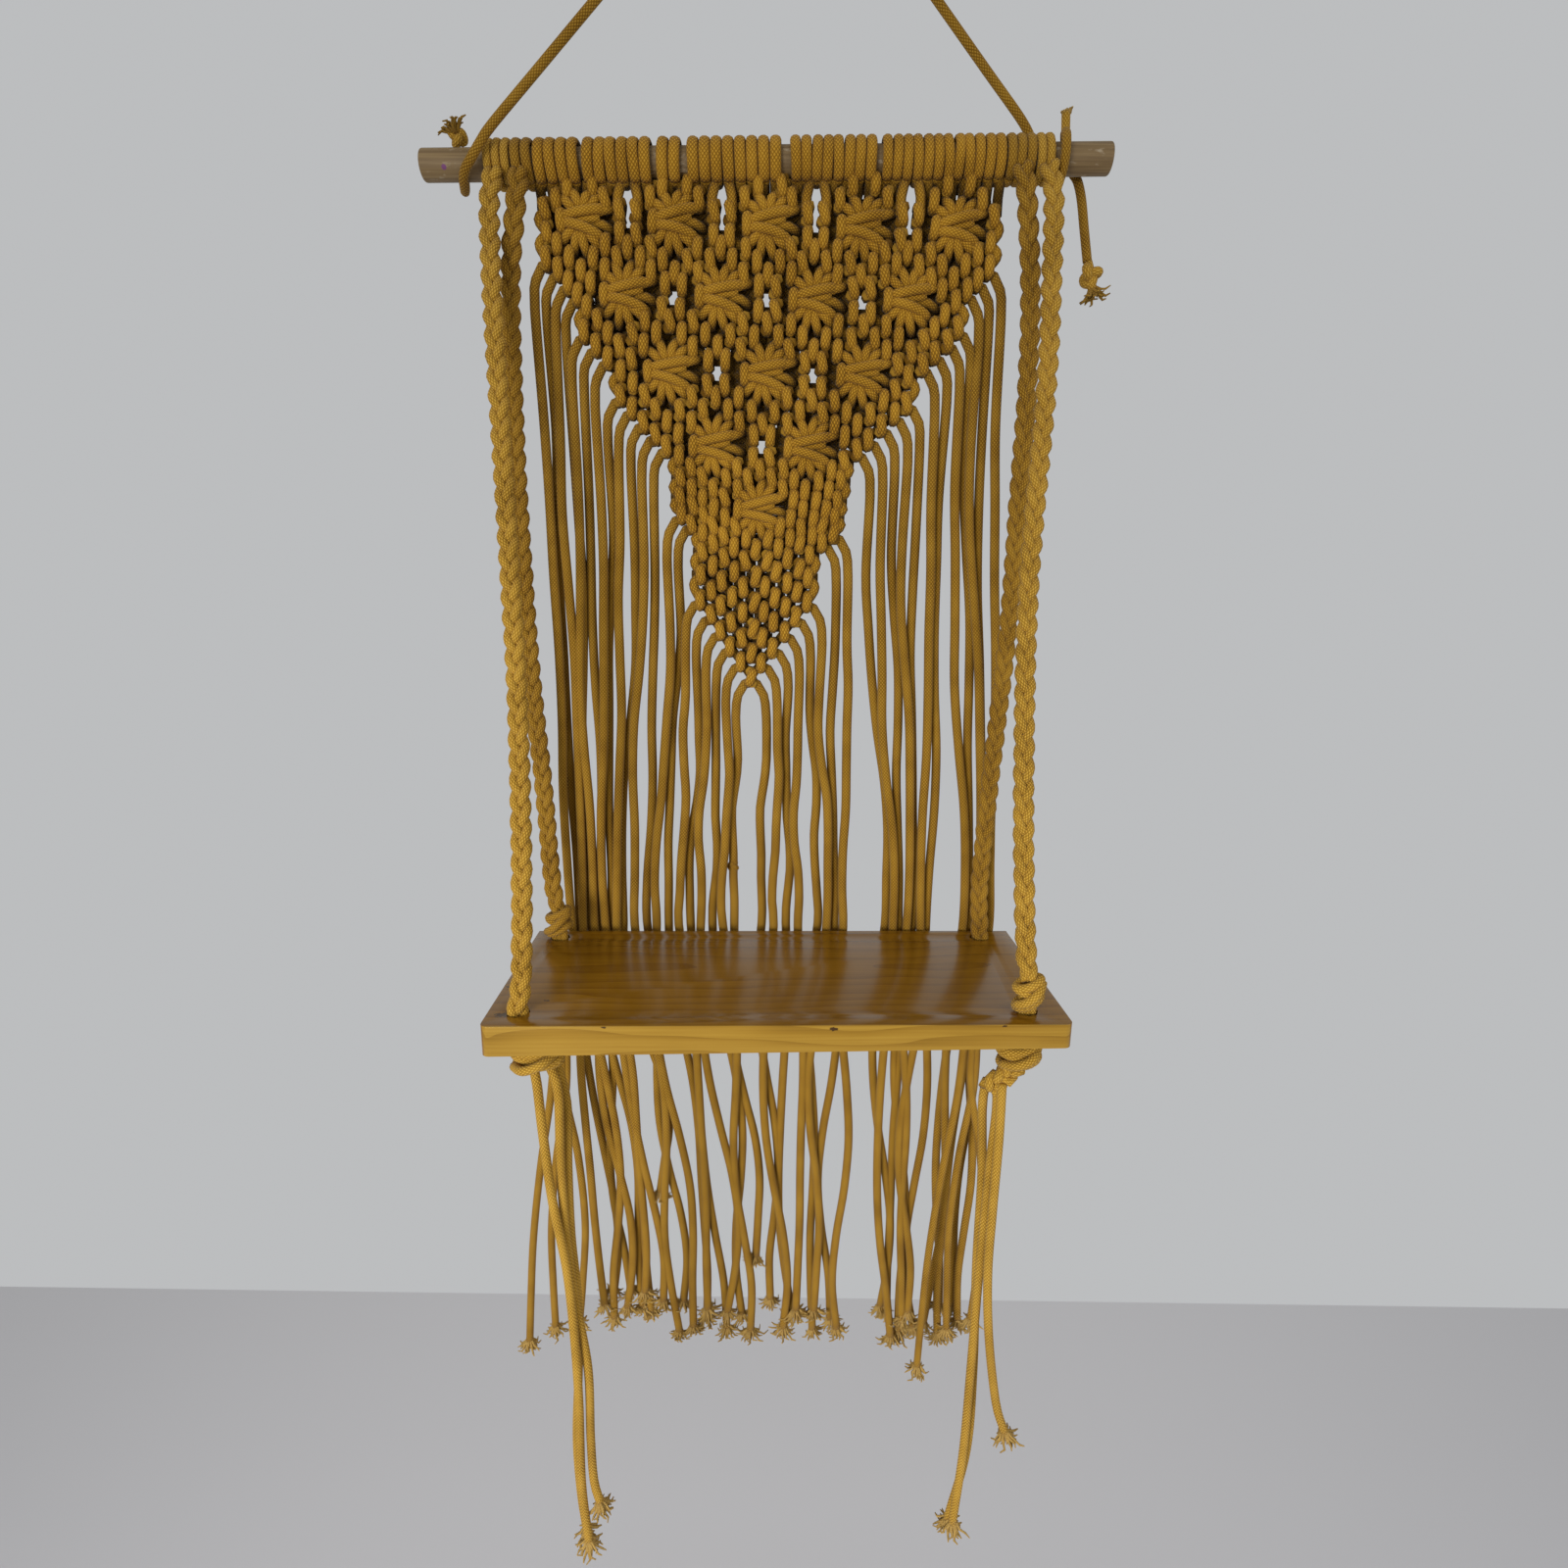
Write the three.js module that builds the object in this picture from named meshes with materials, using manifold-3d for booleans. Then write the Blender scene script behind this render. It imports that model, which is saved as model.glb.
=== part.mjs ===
// A macrame wall shelf: a wooden dowel that hangs by a cord from one point, a knotted
// triangle of cotton cord below it that runs out into a long fringe, and a pine board
// in four plaits whose tails hang under it.
// Millimetres. X to the right, Z up, and the shelf's front faces -Y. The origin is the
// point that the hanging cord is hung by. Most sizes are taken from the dowel's middle.

import * as THREE from 'three';
import Module from 'manifold-3d';
import { mergeVertices } from 'three/addons/utils/BufferGeometryUtils.js';

const wasm = await Module();
wasm.setup();

// driving sizes
const HANG_HEIGHT = 200; // from the dowel's axis up to the hang point
const HANG_OFFSET = 8; // the hang point is this far right of the dowel's middle
const DOWEL = { radius: 9.5, length: 450, middle: 1.5, rise: 8.5 }; // rise: right end over left end
const BOARD = {
  width: 365.5, depth: 152, thick: 20, thinEnd: 16, top: -534, x: 12.75, back: -5, turn: 2,
  corner: 5, holeFromLeft: 19, holeFromRight: 24.5, holeFromFront: 19, holeFromBack: 13, holeRadius: 7.5,
};
const CORD = 6; // diameter of the cotton cord
const FLATTENED = 5; // the cord's thickness where it is pulled round the dowel
const AIR = 0.3; // between pieces that touch
const STRAND_SIDE = 5.4; // a fringe strand's four-sided section
const LAYERS = [6.3, 12.8]; // depths of the fringe's two layers, behind the board

// the knotted triangle: strands side by side, knots where two of them cross
const STRANDS = 40;
const COLUMN = 7.75;
const WEB = { valley: -2.6, peak: -6.4, back: 4.4 };
const LAST_ROW = 40;
const TILT = 0.0105; // the rows of knots fall this much for each millimetre to the right
const ROWS = [
  { row: -1.4, z: -11.5 },
  { row: 0, z: -23 },
  { row: 2, z: -38 },
  { row: 8, z: -82 },
  { row: 14, z: -129 },
  { row: 20, z: -177 },
  { row: 26, z: -218 },
  { row: 30, z: -246 },
  { row: LAST_ROW, z: -337 },
];
// the strands leave the triangle in runs, one each half row, from the outside inwards
const LEFT_RUNS = [
  { strands: 4, row: 5 },
  { strands: 3, row: 11 },
  { strands: 5, row: 16 },
  { strands: 2, row: 27 },
  { strands: 6, row: 35 },
];
const RIGHT_RUNS = [
  { strands: 3, row: 5 },
  { strands: 4, row: 10 },
  { strands: 5, row: 16 },
  { strands: 2, row: 29 },
  { strands: 6, row: 35 },
];
const STAR_ROWS = [
  { row: 2, first: 4, count: 5 },
  { row: 8, first: 8, count: 4 },
  { row: 14, first: 12, count: 3 },
  { row: 20, first: 16, count: 2 },
  { row: 26, first: 20, count: 1 },
];
const STAR_PITCH = 8; // columns from star to star

// the cord's turns round the dowel, in groups with bare wood between them
const WRAP_GROUPS = [
  { first: -145, count: 4, pitch: 7.2 },
  { first: -112.8, count: 6, pitch: 7.5 },
  { first: -66.7, count: 2, pitch: 8.2 },
  { first: -45.9, count: 8, pitch: 7.7 },
  { first: 21.1, count: 8, pitch: 6.95 },
  { first: 80.4, count: 12, pitch: 6.6 },
];

// where the fringe's locks pass the board's back edge and where they end
const LEFT_LOCKS = [
  { strands: 10, boardFrom: -149, boardTo: -109, endFrom: -135, endTo: -80, end: -893 },
  { strands: 10, boardFrom: -99, boardTo: -20, endFrom: -72, endTo: 2, end: -908 },
];
const RIGHT_LOCKS = [
  { strands: 5, boardFrom: 183, boardTo: 162, endFrom: 178, endTo: 152, end: -905 },
  { strands: 7, boardFrom: 134, boardTo: 101, endFrom: 138, endTo: 112, end: -910 },
  { strands: 4, boardFrom: 67, boardTo: 47, endFrom: 72, endTo: 46, end: -908 },
  { strands: 4, boardFrom: 31, boardTo: 2, endFrom: 38, endTo: 15, end: -905 },
];
const SHORT_STRANDS = [
  { side: -1, strand: 9, end: -783 },
  { side: -1, strand: 19, end: -846 },
];
const FRINGE_WAVE = 5;

// the four plaits, from their turns on the dowel down to their holes in the board
const PLAIT = { halfWidth: 5.9, lobe: 1.0, halfDepth: 4.6, step: 7.5, sides: 5 };
const BRAIDS = [
  {
    name: 'front_left_braid', holeX: -1, holeY: -1, wrapFirst: -178, wraps: 3, wrapPitch: 5.7,
    route: [[-173, -14, -9], [-176, -17, -28], [-173, -31, -89], [-165, -54, -183],
      [-157, -77, -275], [-152, -92, -337], [-147, -116, -428], [-145, -136, -508]],
    knotAbove: 0, stopper: 13, slack: [[-143, -144, -565], [-132, -145, -569], [-127, -146, -576]],
    tails: [[-120, -138, -952], [-116, -149, -950], [-107, -146, -917]],
  },
  {
    name: 'back_left_braid', holeX: -1, holeY: 1, wrapFirst: -159.6, wraps: 2, wrapPitch: 6.6,
    route: [[-157, -14, -9], [-160, -14, -28], [-167, -11, -80], [-169, -11, -176],
      [-167, -14, -275], [-164, -17, -344], [-159, -19, -416], [-155, -22, -490]],
    knotAbove: 10.5, stopper: 11, slack: [],
    tails: [[-186, -28, -912], [-166, -17, -903], [-149, -24, -880]],
  },
  {
    name: 'back_right_braid', holeX: 1, holeY: 1, wrapFirst: 160.2, wraps: 3, wrapPitch: 6.2,
    route: [[167, -14, -9], [171, -13, -28], [178, -10, -80], [180, -10, -139],
      [179, -11, -203], [178, -11, -296], [172, -12, -410], [169, -12, -490]],
    knotAbove: 0, stopper: 11, slack: [],
    tails: [[140, -19, -928], [166, -8, -900], [185, -13, -885]],
  },
  {
    name: 'front_right_braid', holeX: 1, holeY: -1, wrapFirst: 179, wraps: 2, wrapPitch: 5.8,
    route: [[184, -14, -9], [187, -17, -28], [186, -30, -80], [184, -43, -146],
      [174, -72, -270], [172, -101, -392], [174, -122, -484]],
    knotAbove: 10, stopper: 14, slack: [[176, -133, -562], [166, -136, -571], [158, -137, -580], [155, -136, -589]],
    tails: [[147, -132, -946], [152, -136, -944], [182, -139, -858]],
  },
];

// the hanging cord, by hand, from its left end on the dowel over the hang point to its tail,
// as it would lie round a dowel of TIE_RADIUS
const TIE_RADIUS = 11;
const HANG_BEND = 13; // the cord's radius over whatever it hangs on
const LEFT_TIE = [
  [-201.6, 10.5, 13.6], [-202, 14.4, 6.6], [-201.6, 15.7, -1.5], [-200.6, 12.8, -9],
  [-199, 6.5, -14.4], [-196.8, -1.5, -15.2], [-194.6, -9.6, -13.4], [-191.4, -15.6, -9.4],
  [-185.6, -19.6, -3.8], [-179, -20.8, 5], [-171, -20, 15.6],
];
const RIGHT_TIE = [
  [172, 18, 30], [181, 20.6, 17], [187.6, 20.8, 4.6], [190.8, 17.6, -6.4],
  [192.4, 10, -14.2], [193.1, -0.6, -16.4], [193.4, -10, -12.6], [193.5, -15.2, -4],
  [193.6, -14.6, 5.6], [194.3, -9, 12.8], [196, 0.4, 15.8], [199, 9.6, 12.8],
  [202.6, 15, 6], [206, 16, -1], [210.2, 14.8, -8], [213.4, 13, -20],
  [216.8, 11.4, -38], [220, 9.8, -57.5],
];

const MATERIALS = {
  cotton: { color: 0xb98a2f, roughness: 0.9, metalness: 0 },
  wood: { color: 0xbf9d6c, roughness: 0.6, metalness: 0 },
  varnished: { color: 0xb07b2c, roughness: 0.28, metalness: 0 },
};

// small tools

const vector = (p) => new THREE.Vector3(p[0], p[1], p[2]);
const smooth = (t) => THREE.MathUtils.smoothstep(t, 0, 1);
const rise = (x) => (x * DOWEL.rise) / DOWEL.length;

// a point of a tie or of a plait's top, drawn in to the dowel and raised with it
function onTie([x, y, z]) {
  const out = Math.hypot(y, z);
  const scale = out < 26 ? (out + DOWEL.radius - TIE_RADIUS) / out : 1;
  return new THREE.Vector3(x, y * scale, z * scale + rise(x));
}

function byTable(table, key, value, at) {
  const last = table.length - 2;
  const index = table.findIndex((entry, k) => k === last || at <= table[k + 1][key]);
  const [a, b] = [table[index], table[index + 1]];
  return a[value] + ((at - a[key]) / (b[key] - a[key])) * (b[value] - a[value]);
}

function closedMesh(corners, faces) {
  const geometry = new THREE.BufferGeometry();
  geometry.setAttribute('position', new THREE.Float32BufferAttribute(corners.flatMap((p) => p.toArray()), 3));
  geometry.setIndex(faces.flat());
  return geometry;
}

// a skin over rings of the same number of points, with a fan at each end
function loft(rings) {
  const sides = rings[0].length;
  const faces = [];
  for (let r = 0; r < rings.length - 1; r += 1) {
    for (let s = 0; s < sides; s += 1) {
      const a = r * sides + s;
      const b = r * sides + ((s + 1) % sides);
      faces.push([a, b, a + sides], [b, b + sides, a + sides]);
    }
  }
  const last = (rings.length - 1) * sides;
  for (let s = 1; s < sides - 1; s += 1) {
    faces.push([0, s + 1, s], [last, last + s, last + s + 1]);
  }
  return closedMesh(rings.flat(), faces);
}

// rings square to a line, carried along it without twisting; section(k) gives ring k
// as points [across, forward], counted round the line
function ringsAlong(line, section, across) {
  const side = across.clone();
  return line.map((point, k) => {
    const before = line[Math.max(k - 1, 0)];
    const after = line[Math.min(k + 1, line.length - 1)];
    const along = after.clone().sub(before).normalize();
    side.addScaledVector(along, -side.dot(along)).normalize();
    const forward = new THREE.Vector3().crossVectors(along, side);
    return section(k).map(([u, v]) => point.clone().addScaledVector(side, u).addScaledVector(forward, v));
  });
}

function polygon(sides, radius, phase = 0) {
  return Array.from({ length: sides }, (_, k) => {
    const angle = ((k + phase) / sides) * 2 * Math.PI;
    return [radius * Math.cos(angle), radius * Math.sin(angle)];
  });
}

function tube(line, sides, radius, across = new THREE.Vector3(1, 0, 0)) {
  const section = polygon(sides, radius, 0.5);
  return loft(ringsAlong(line, () => section, across));
}

function toSolid(geometry) {
  const bare = geometry.clone();
  bare.deleteAttribute('normal');
  bare.deleteAttribute('uv');
  const merged = mergeVertices(bare, 1e-4);
  return new wasm.Manifold(new wasm.Mesh({
    numProp: 3,
    vertProperties: new Float32Array(merged.attributes.position.array),
    triVerts: new Uint32Array(merged.index.array),
  }));
}

function toGeometry(solid) {
  const mesh = solid.getMesh();
  const geometry = new THREE.BufferGeometry();
  geometry.setAttribute('position', new THREE.BufferAttribute(mesh.vertProperties, 3));
  geometry.setIndex(new THREE.BufferAttribute(mesh.triVerts, 1));
  return geometry;
}

const joined = (solids) => solids.reduce((whole, solid) => whole.add(solid));

function piece(name, geometry, look) {
  const material = new THREE.MeshStandardMaterial(MATERIALS[look]);
  const mesh = new THREE.Mesh(geometry, material);
  mesh.name = name;
  return mesh;
}

// the dowel and the turns of cord on it

// from along Y to along X, with the dowel's slight rise to the right
function layAlong(geometry) {
  geometry.rotateZ(-Math.PI / 2);
  geometry.applyMatrix4(new THREE.Matrix4().makeShear(0, DOWEL.rise / DOWEL.length, 0, 0, 0, 0));
  return geometry;
}

function makeDowel() {
  const geometry = new THREE.CylinderGeometry(DOWEL.radius, DOWEL.radius, DOWEL.length, 32);
  return layAlong(geometry.translate(0, DOWEL.middle, 0));
}

// a sleeve round the dowel with one rounded ridge for each turn of the cord
function makeWraps({ first, count, pitch }) {
  const sides = 8;
  const bore = (DOWEL.radius + AIR) / Math.cos(Math.PI / sides);
  const peak = DOWEL.radius + AIR + FLATTENED;
  const valley = peak - 1.9;
  const start = first - pitch / 2;
  const outer = [];
  for (let k = 0; k < count; k += 1) {
    outer.push([start + k * pitch, valley], [start + (k + 0.5) * pitch, peak]);
  }
  const end = start + count * pitch;
  outer.push([end, valley]);
  const profile = [[start, bore], ...outer, [end, bore], [start, bore]];
  const points = profile.map(([along, radius]) => new THREE.Vector2(radius, along));
  return layAlong(new THREE.LatheGeometry(points, sides, Math.PI / sides));
}

// the knotted triangle

function leavingRows(runs) {
  return runs.flatMap(({ strands, row }) => Array.from({ length: strands }, (_, k) => row + k));
}

const LEAVE_LEFT = leavingRows(LEFT_RUNS);
const LEAVE_RIGHT = leavingRows(RIGHT_RUNS);

function lastRowOf(strand) {
  return strand < STRANDS / 2 ? LEAVE_LEFT[strand] : LEAVE_RIGHT[STRANDS - 1 - strand];
}

// the place of a point of the lattice, by its column and half row
function lattice(column, row) {
  const fromMiddle = column - STRANDS / 2;
  const down = Math.max(row, 0) / LAST_ROW;
  const middle = 4 - 11 * down ** 1.5;
  const spread = 1 + 0.06 * smooth((row - 5) / 7) * (1 - smooth((row - 20) / 8));
  const lift = 2.1 * Math.abs(fromMiddle) * smooth((row - 24) / 11);
  const x = middle + fromMiddle * COLUMN * spread;
  const slope = THREE.MathUtils.lerp(rise(x), -TILT * x, smooth((row + 1.4) / 3.4));
  return { x, z: byTable(ROWS, 'row', 'z', row) + lift + slope };
}

function isKnot(column, row) {
  const even = (column + row) % 2 === 0;
  const inside = column >= 1 && column < STRANDS;
  return even && inside && row <= Math.min(lastRowOf(column - 1), lastRowOf(column));
}

const STARS = STAR_ROWS.flatMap(({ row, first, count }) => (
  Array.from({ length: count }, (_, k) => ({ column: first + k * STAR_PITCH, row }))
));

// inside a star the strands run straight and no small knot stands up
function inStar(column, row) {
  return STARS.some((star) => Math.abs(star.column - column) + Math.abs(star.row - row) <= 2);
}

// every knot is a raised diamond between four low points, and the diamonds fill the web
function makeWeb() {
  const corners = [];
  const faces = [];
  const lowPoints = new Map();
  const edges = new Map();
  const low = (column, row) => {
    const key = `${column},${row}`;
    if (!lowPoints.has(key)) {
      const place = lattice(column, row < 0 ? ROWS[0].row : row);
      corners.push(new THREE.Vector3(place.x, WEB.valley, place.z));
      corners.push(new THREE.Vector3(place.x, WEB.back, place.z));
      lowPoints.set(key, corners.length - 2);
    }
    return lowPoints.get(key);
  };
  const diamond = (column, row) => {
    const ring = [low(column - 1, row), low(column, row + 1), low(column + 1, row), low(column, row - 1)];
    const [west, south, east, north] = ring;
    faces.push([west + 1, north + 1, south + 1], [east + 1, south + 1, north + 1]);
    const flat = inStar(column, row);
    if (flat) {
      faces.push([west, south, north], [east, north, south]);
    } else {
      const { x, z } = lattice(column, row);
      corners.push(new THREE.Vector3(x, WEB.peak, z));
    }
    ring.forEach((a, k) => {
      const b = ring[(k + 1) % ring.length];
      if (!flat) {
        faces.push([a, b, corners.length - 1]);
      }
      if (edges.has(`${b},${a}`)) {
        edges.delete(`${b},${a}`);
      } else {
        edges.set(`${a},${b}`, [a, b]);
      }
    });
  };
  for (let row = 0; row <= LAST_ROW; row += 1) {
    for (let column = 1; column < STRANDS; column += 1) {
      if (isKnot(column, row)) {
        diamond(column, row);
      }
    }
  }
  edges.forEach(([a, b]) => faces.push([a, a + 1, b], [b, a + 1, b + 1]));
  return closedMesh(corners, faces);
}

// a star is a large square knot: an upright bump at its left and two bars over the strands
function makeStar({ column, row }) {
  const { x, z } = lattice(column, row);
  const bump = [[-15.5, -4, 8.5], [-16, -8.6, 0], [-15, -4, -8.5]];
  const upperBar = [[-15, -4, 0], [-4, -8.4, 3], [11, -4, 6.5]];
  const lowerBar = [[-15, -4, -2], [-4, -8.4, -3.6], [11, -4, -5.5]];
  return [bump, upperBar, lowerBar].map((route) => (
    toSolid(tube(route.map(([dx, y, dz]) => new THREE.Vector3(x + dx, y, z + dz)), 4, 3.6,
      new THREE.Vector3(0, 0, 1)))
  ));
}

// gaps that show through the web: long ones between stars, small ones over and under each
function makeGap(x, z, width, height) {
  const shape = new THREE.Shape([
    new THREE.Vector2(-width / 2, 0),
    new THREE.Vector2(0, -height / 2),
    new THREE.Vector2(width / 2, 0),
    new THREE.Vector2(0, height / 2),
  ]);
  const geometry = new THREE.ExtrudeGeometry(shape, { depth: 30, bevelEnabled: false });
  geometry.rotateX(Math.PI / 2);
  geometry.translate(x, 15, z);
  return toSolid(geometry);
}

function makeGaps() {
  const gaps = [];
  STAR_ROWS.forEach(({ row, first, count }) => {
    for (let k = 0; k < count; k += 1) {
      const column = first + k * STAR_PITCH;
      const under = lattice(column, row + 2.1);
      gaps.push(makeGap(under.x, under.z, 5.6, 7));
      if (row > STAR_ROWS[0].row) {
        const over = lattice(column, row - 2.6);
        gaps.push(makeGap(over.x, over.z, 5, 6.5));
      }
      if (k < count - 1) {
        const beside = lattice(column + STAR_PITCH / 2, row - 0.3);
        gaps.push(makeGap(beside.x, beside.z, 8.5, row === STAR_ROWS[0].row ? 27 : 17));
      }
    }
  });
  return gaps;
}

// the fringe

function lockOf(locks, strand) {
  let from = 0;
  const lock = locks.find(({ strands }) => {
    const found = strand < from + strands;
    from += found ? 0 : strands;
    return found;
  });
  return { lock, share: (strand - from) / (lock.strands - 1) };
}

function strandLine(side, strand) {
  const column = side < 0 ? strand + 1 : STRANDS - 1 - strand;
  const row = side < 0 ? LEAVE_LEFT[strand] : LEAVE_RIGHT[strand];
  const { lock, share } = lockOf(side < 0 ? LEFT_LOCKS : RIGHT_LOCKS, strand);
  const short = SHORT_STRANDS.find((entry) => entry.side === side && entry.strand === strand);
  const end = short ? short.end : lock.end + 14 * Math.sin(2.4 * strand);
  const boardX = THREE.MathUtils.lerp(lock.boardFrom, lock.boardTo, share);
  const endX = THREE.MathUtils.lerp(lock.endFrom, lock.endTo, share);
  const depth = LAYERS[strand % LAYERS.length];
  const root = lattice(column, row);
  const loose = root.x + side * 11;
  const hanging = [0.4, 1].map((t) => {
    const z = THREE.MathUtils.lerp(root.z - 40, BOARD.top, t);
    return [THREE.MathUtils.lerp(loose, boardX, smooth(t)), depth, z];
  });
  const below = [0.35, 0.7, 1].map((t, k) => {
    const wave = FRINGE_WAVE * [1, -1, 0][k] * side;
    return [THREE.MathUtils.lerp(boardX, endX, t) + wave, depth, THREE.MathUtils.lerp(BOARD.top, end, t)];
  });
  return [
    [root.x - side, 0.6, root.z],
    [root.x + side * 8, 1, root.z - 8],
    ...hanging,
    ...below,
  ].map(vector);
}

function makePanel() {
  const fringe = [-1, 1].flatMap((side) => (
    Array.from({ length: STRANDS / 2 }, (_, strand) => (
      toSolid(tube(strandLine(side, strand), 4, STRAND_SIDE / Math.SQRT2))
    ))
  ));
  const web = makeGaps().reduce((whole, gap) => whole.subtract(gap), toSolid(makeWeb()));
  const wraps = WRAP_GROUPS.map((group) => toSolid(makeWraps(group)));
  return toGeometry(joined([web, ...STARS.flatMap(makeStar), ...wraps, ...fringe]));
}

// the board

function onBoard(across, deep) {
  const turn = THREE.MathUtils.degToRad(BOARD.turn);
  return {
    x: BOARD.x + across * Math.cos(turn) - deep * Math.sin(turn),
    y: BOARD.back + across * Math.sin(turn) + deep * Math.cos(turn),
  };
}

function holeOnBoard({ holeX, holeY }) {
  return {
    across: holeX * (BOARD.width / 2 - (holeX > 0 ? BOARD.holeFromRight : BOARD.holeFromLeft)),
    deep: holeY > 0 ? -BOARD.holeFromBack : BOARD.holeFromFront - BOARD.depth,
  };
}

function makeBoard() {
  const [half, deep, round] = [BOARD.width / 2, -BOARD.depth, BOARD.corner];
  const outline = new THREE.Shape();
  outline.moveTo(-half, 0);
  outline.lineTo(-half, deep + round);
  outline.absarc(-half + round, deep + round, round, Math.PI, 1.5 * Math.PI, false);
  outline.absarc(half - round, deep + round, round, 1.5 * Math.PI, 2 * Math.PI, false);
  outline.lineTo(half, 0);
  BRAIDS.forEach((braid) => {
    const hole = holeOnBoard(braid);
    outline.holes.push(
      new THREE.Path().absarc(hole.across, hole.deep, BOARD.holeRadius, 0, 2 * Math.PI, true));
  });
  const geometry = new THREE.ExtrudeGeometry(outline, { depth: 1, bevelEnabled: false, curveSegments: 4 });
  const position = geometry.attributes.position;
  for (let k = 0; k < position.count; k += 1) {
    const [x, y, share] = [position.getX(k), position.getY(k), position.getZ(k)];
    const toEnd = smooth(x / half);
    const thick = THREE.MathUtils.lerp(BOARD.thick, BOARD.thinEnd, toEnd);
    const place = onBoard(x, y);
    position.setXYZ(k, place.x, place.y, BOARD.top - (1 - share) * thick);
  }
  return geometry;
}

// the plaits

function boardUnder(holeX) {
  return BOARD.top - (holeX > 0 ? BOARD.thinEnd + 1 : BOARD.thick);
}

// stations down a plait: each has a place, half its width to the left and right, and half
// its depth
function braidStations(braid) {
  const { holeX, route, knotAbove, stopper } = braid;
  const { across, deep } = holeOnBoard(braid);
  const hole = onBoard(across, deep);
  const start = route.map((point, k) => (k < 2 ? onTie(point) : vector(point)));
  const curve = new THREE.CatmullRomCurve3([...start, new THREE.Vector3(hole.x, hole.y, BOARD.top + 2)]);
  const count = Math.round(curve.getLength() / PLAIT.step);
  const stations = curve.getSpacedPoints(count).map((place, k) => {
    const lobe = k % 2 ? PLAIT.lobe : -PLAIT.lobe;
    return { place, left: PLAIT.halfWidth + lobe, right: PLAIT.halfWidth - lobe, depth: PLAIT.halfDepth };
  });
  stations.forEach((station) => {
    const near = (station.place.z - BOARD.top - knotAbove) / (knotAbove + 2);
    if (Math.abs(near) < 1) {
      const swell = (knotAbove - PLAIT.halfWidth) * Math.sqrt(1 - near * near);
      station.left += swell;
      station.right += swell;
      station.depth += swell * 0.8;
    }
  });
  const inHole = BOARD.holeRadius - 1.2;
  const add = (down, width, depth) => stations.push({
    place: new THREE.Vector3(hole.x, hole.y, down), left: width, right: width, depth,
  });
  stations.pop();
  const under = boardUnder(holeX) - AIR;
  add(BOARD.top + 1, inHole, inHole);
  add(under, inHole, inHole);
  add(under - 2, stopper * 0.85, stopper * 0.7);
  add(under - 7, stopper, stopper * 0.8);
  add(under - 13, stopper * 0.6, stopper * 0.5);
  return stations;
}

function makeBraid(braid) {
  const stations = braidStations(braid);
  const outline = polygon(PLAIT.sides, 1.05, -PLAIT.sides / 4);
  const section = (k) => outline.map(([u, v]) => {
    const { left, right, depth } = stations[k];
    return [u * (u > 0 ? right : left), v * depth];
  });
  const places = stations.map(({ place }) => place);
  const plait = toSolid(loft(ringsAlong(places, section, new THREE.Vector3(1, 0, 0))));
  const wraps = toSolid(makeWraps({ first: braid.wrapFirst, count: braid.wraps, pitch: braid.wrapPitch }));
  const slack = braid.slack.map(vector);
  const knot = slack.length ? slack[slack.length - 1] : places[places.length - 2];
  const tails = braid.tails.map(([x, y, z], k) => {
    const apart = (k - 1) * CORD * 0.8;
    const at = (t, swing) => new THREE.Vector3(
      THREE.MathUtils.lerp(knot.x + apart, x, t) + swing,
      THREE.MathUtils.lerp(knot.y, y, t),
      THREE.MathUtils.lerp(knot.z + 3, z, t),
    );
    const swing = 3 * Math.sign(x - knot.x);
    return toSolid(tube([at(0, 0), at(0.2, -swing), at(0.45, swing), at(0.75, 0), at(1, 0)], 4,
      STRAND_SIDE / Math.SQRT2));
  });
  const twist = slack.length ? [toSolid(tube(slack, 6, PLAIT.halfWidth + PLAIT.lobe))] : [];
  return toGeometry(joined([plait, wraps, ...twist, ...tails]));
}

// the hanging cord and the knots at its two ends

function cordLine() {
  const left = LEFT_TIE.map(onTie);
  const right = RIGHT_TIE.map(onTie);
  const crown = [150, 120, 90, 60, 30].map((degrees) => {
    const angle = THREE.MathUtils.degToRad(degrees);
    return new THREE.Vector3(
      HANG_OFFSET + HANG_BEND * Math.cos(angle), 0, HANG_HEIGHT + HANG_BEND * (Math.sin(angle) - 1));
  });
  const leg = (from, to, steps) => Array.from({ length: steps - 1 }, (_, k) => (
    from.clone().lerp(to, (k + 1) / steps)));
  const lastLeft = left[left.length - 1];
  return [
    ...left,
    ...leg(lastLeft, crown[0], 6),
    ...crown,
    ...leg(crown[crown.length - 1], right[0], 6),
    ...right,
  ];
}

// a knot in the cord's end with its frayed tip beyond it
function makeEndKnot(place, direction) {
  const profile = [[0, 0], [5, 1.5], [7.2, 5.5], [5.4, 10], [4.6, 12], [7.4, 18], [0, 17]];
  const geometry = new THREE.LatheGeometry(profile.map(([r, up]) => new THREE.Vector2(r, up)), 8);
  const turn = new THREE.Quaternion().setFromUnitVectors(new THREE.Vector3(0, 1, 0), vector(direction).normalize());
  geometry.applyQuaternion(turn);
  geometry.translate(place.x, place.y, place.z);
  return geometry;
}

const shelf = new THREE.Group();
shelf.position.set(-HANG_OFFSET, 0, -HANG_HEIGHT);
shelf.add(piece('dowel', makeDowel(), 'wood'));
shelf.add(piece('shelf_board', makeBoard(), 'varnished'));
shelf.add(piece('macrame_panel', makePanel(), 'cotton'));
BRAIDS.forEach((braid) => shelf.add(piece(braid.name, makeBraid(braid), 'cotton')));
shelf.add(piece('hanging_cord', tube(cordLine(), 6, CORD / 2), 'cotton'));
shelf.add(piece('left_end_knot', makeEndKnot(onTie([-200.5, 3.5, 12.6]), [0.1, -0.25, 1]), 'cotton'));
shelf.add(piece('tail_end_knot', makeEndKnot(onTie([220.4, 9.6, -59.3]), [0.22, -0.2, -1]), 'cotton'));

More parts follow.
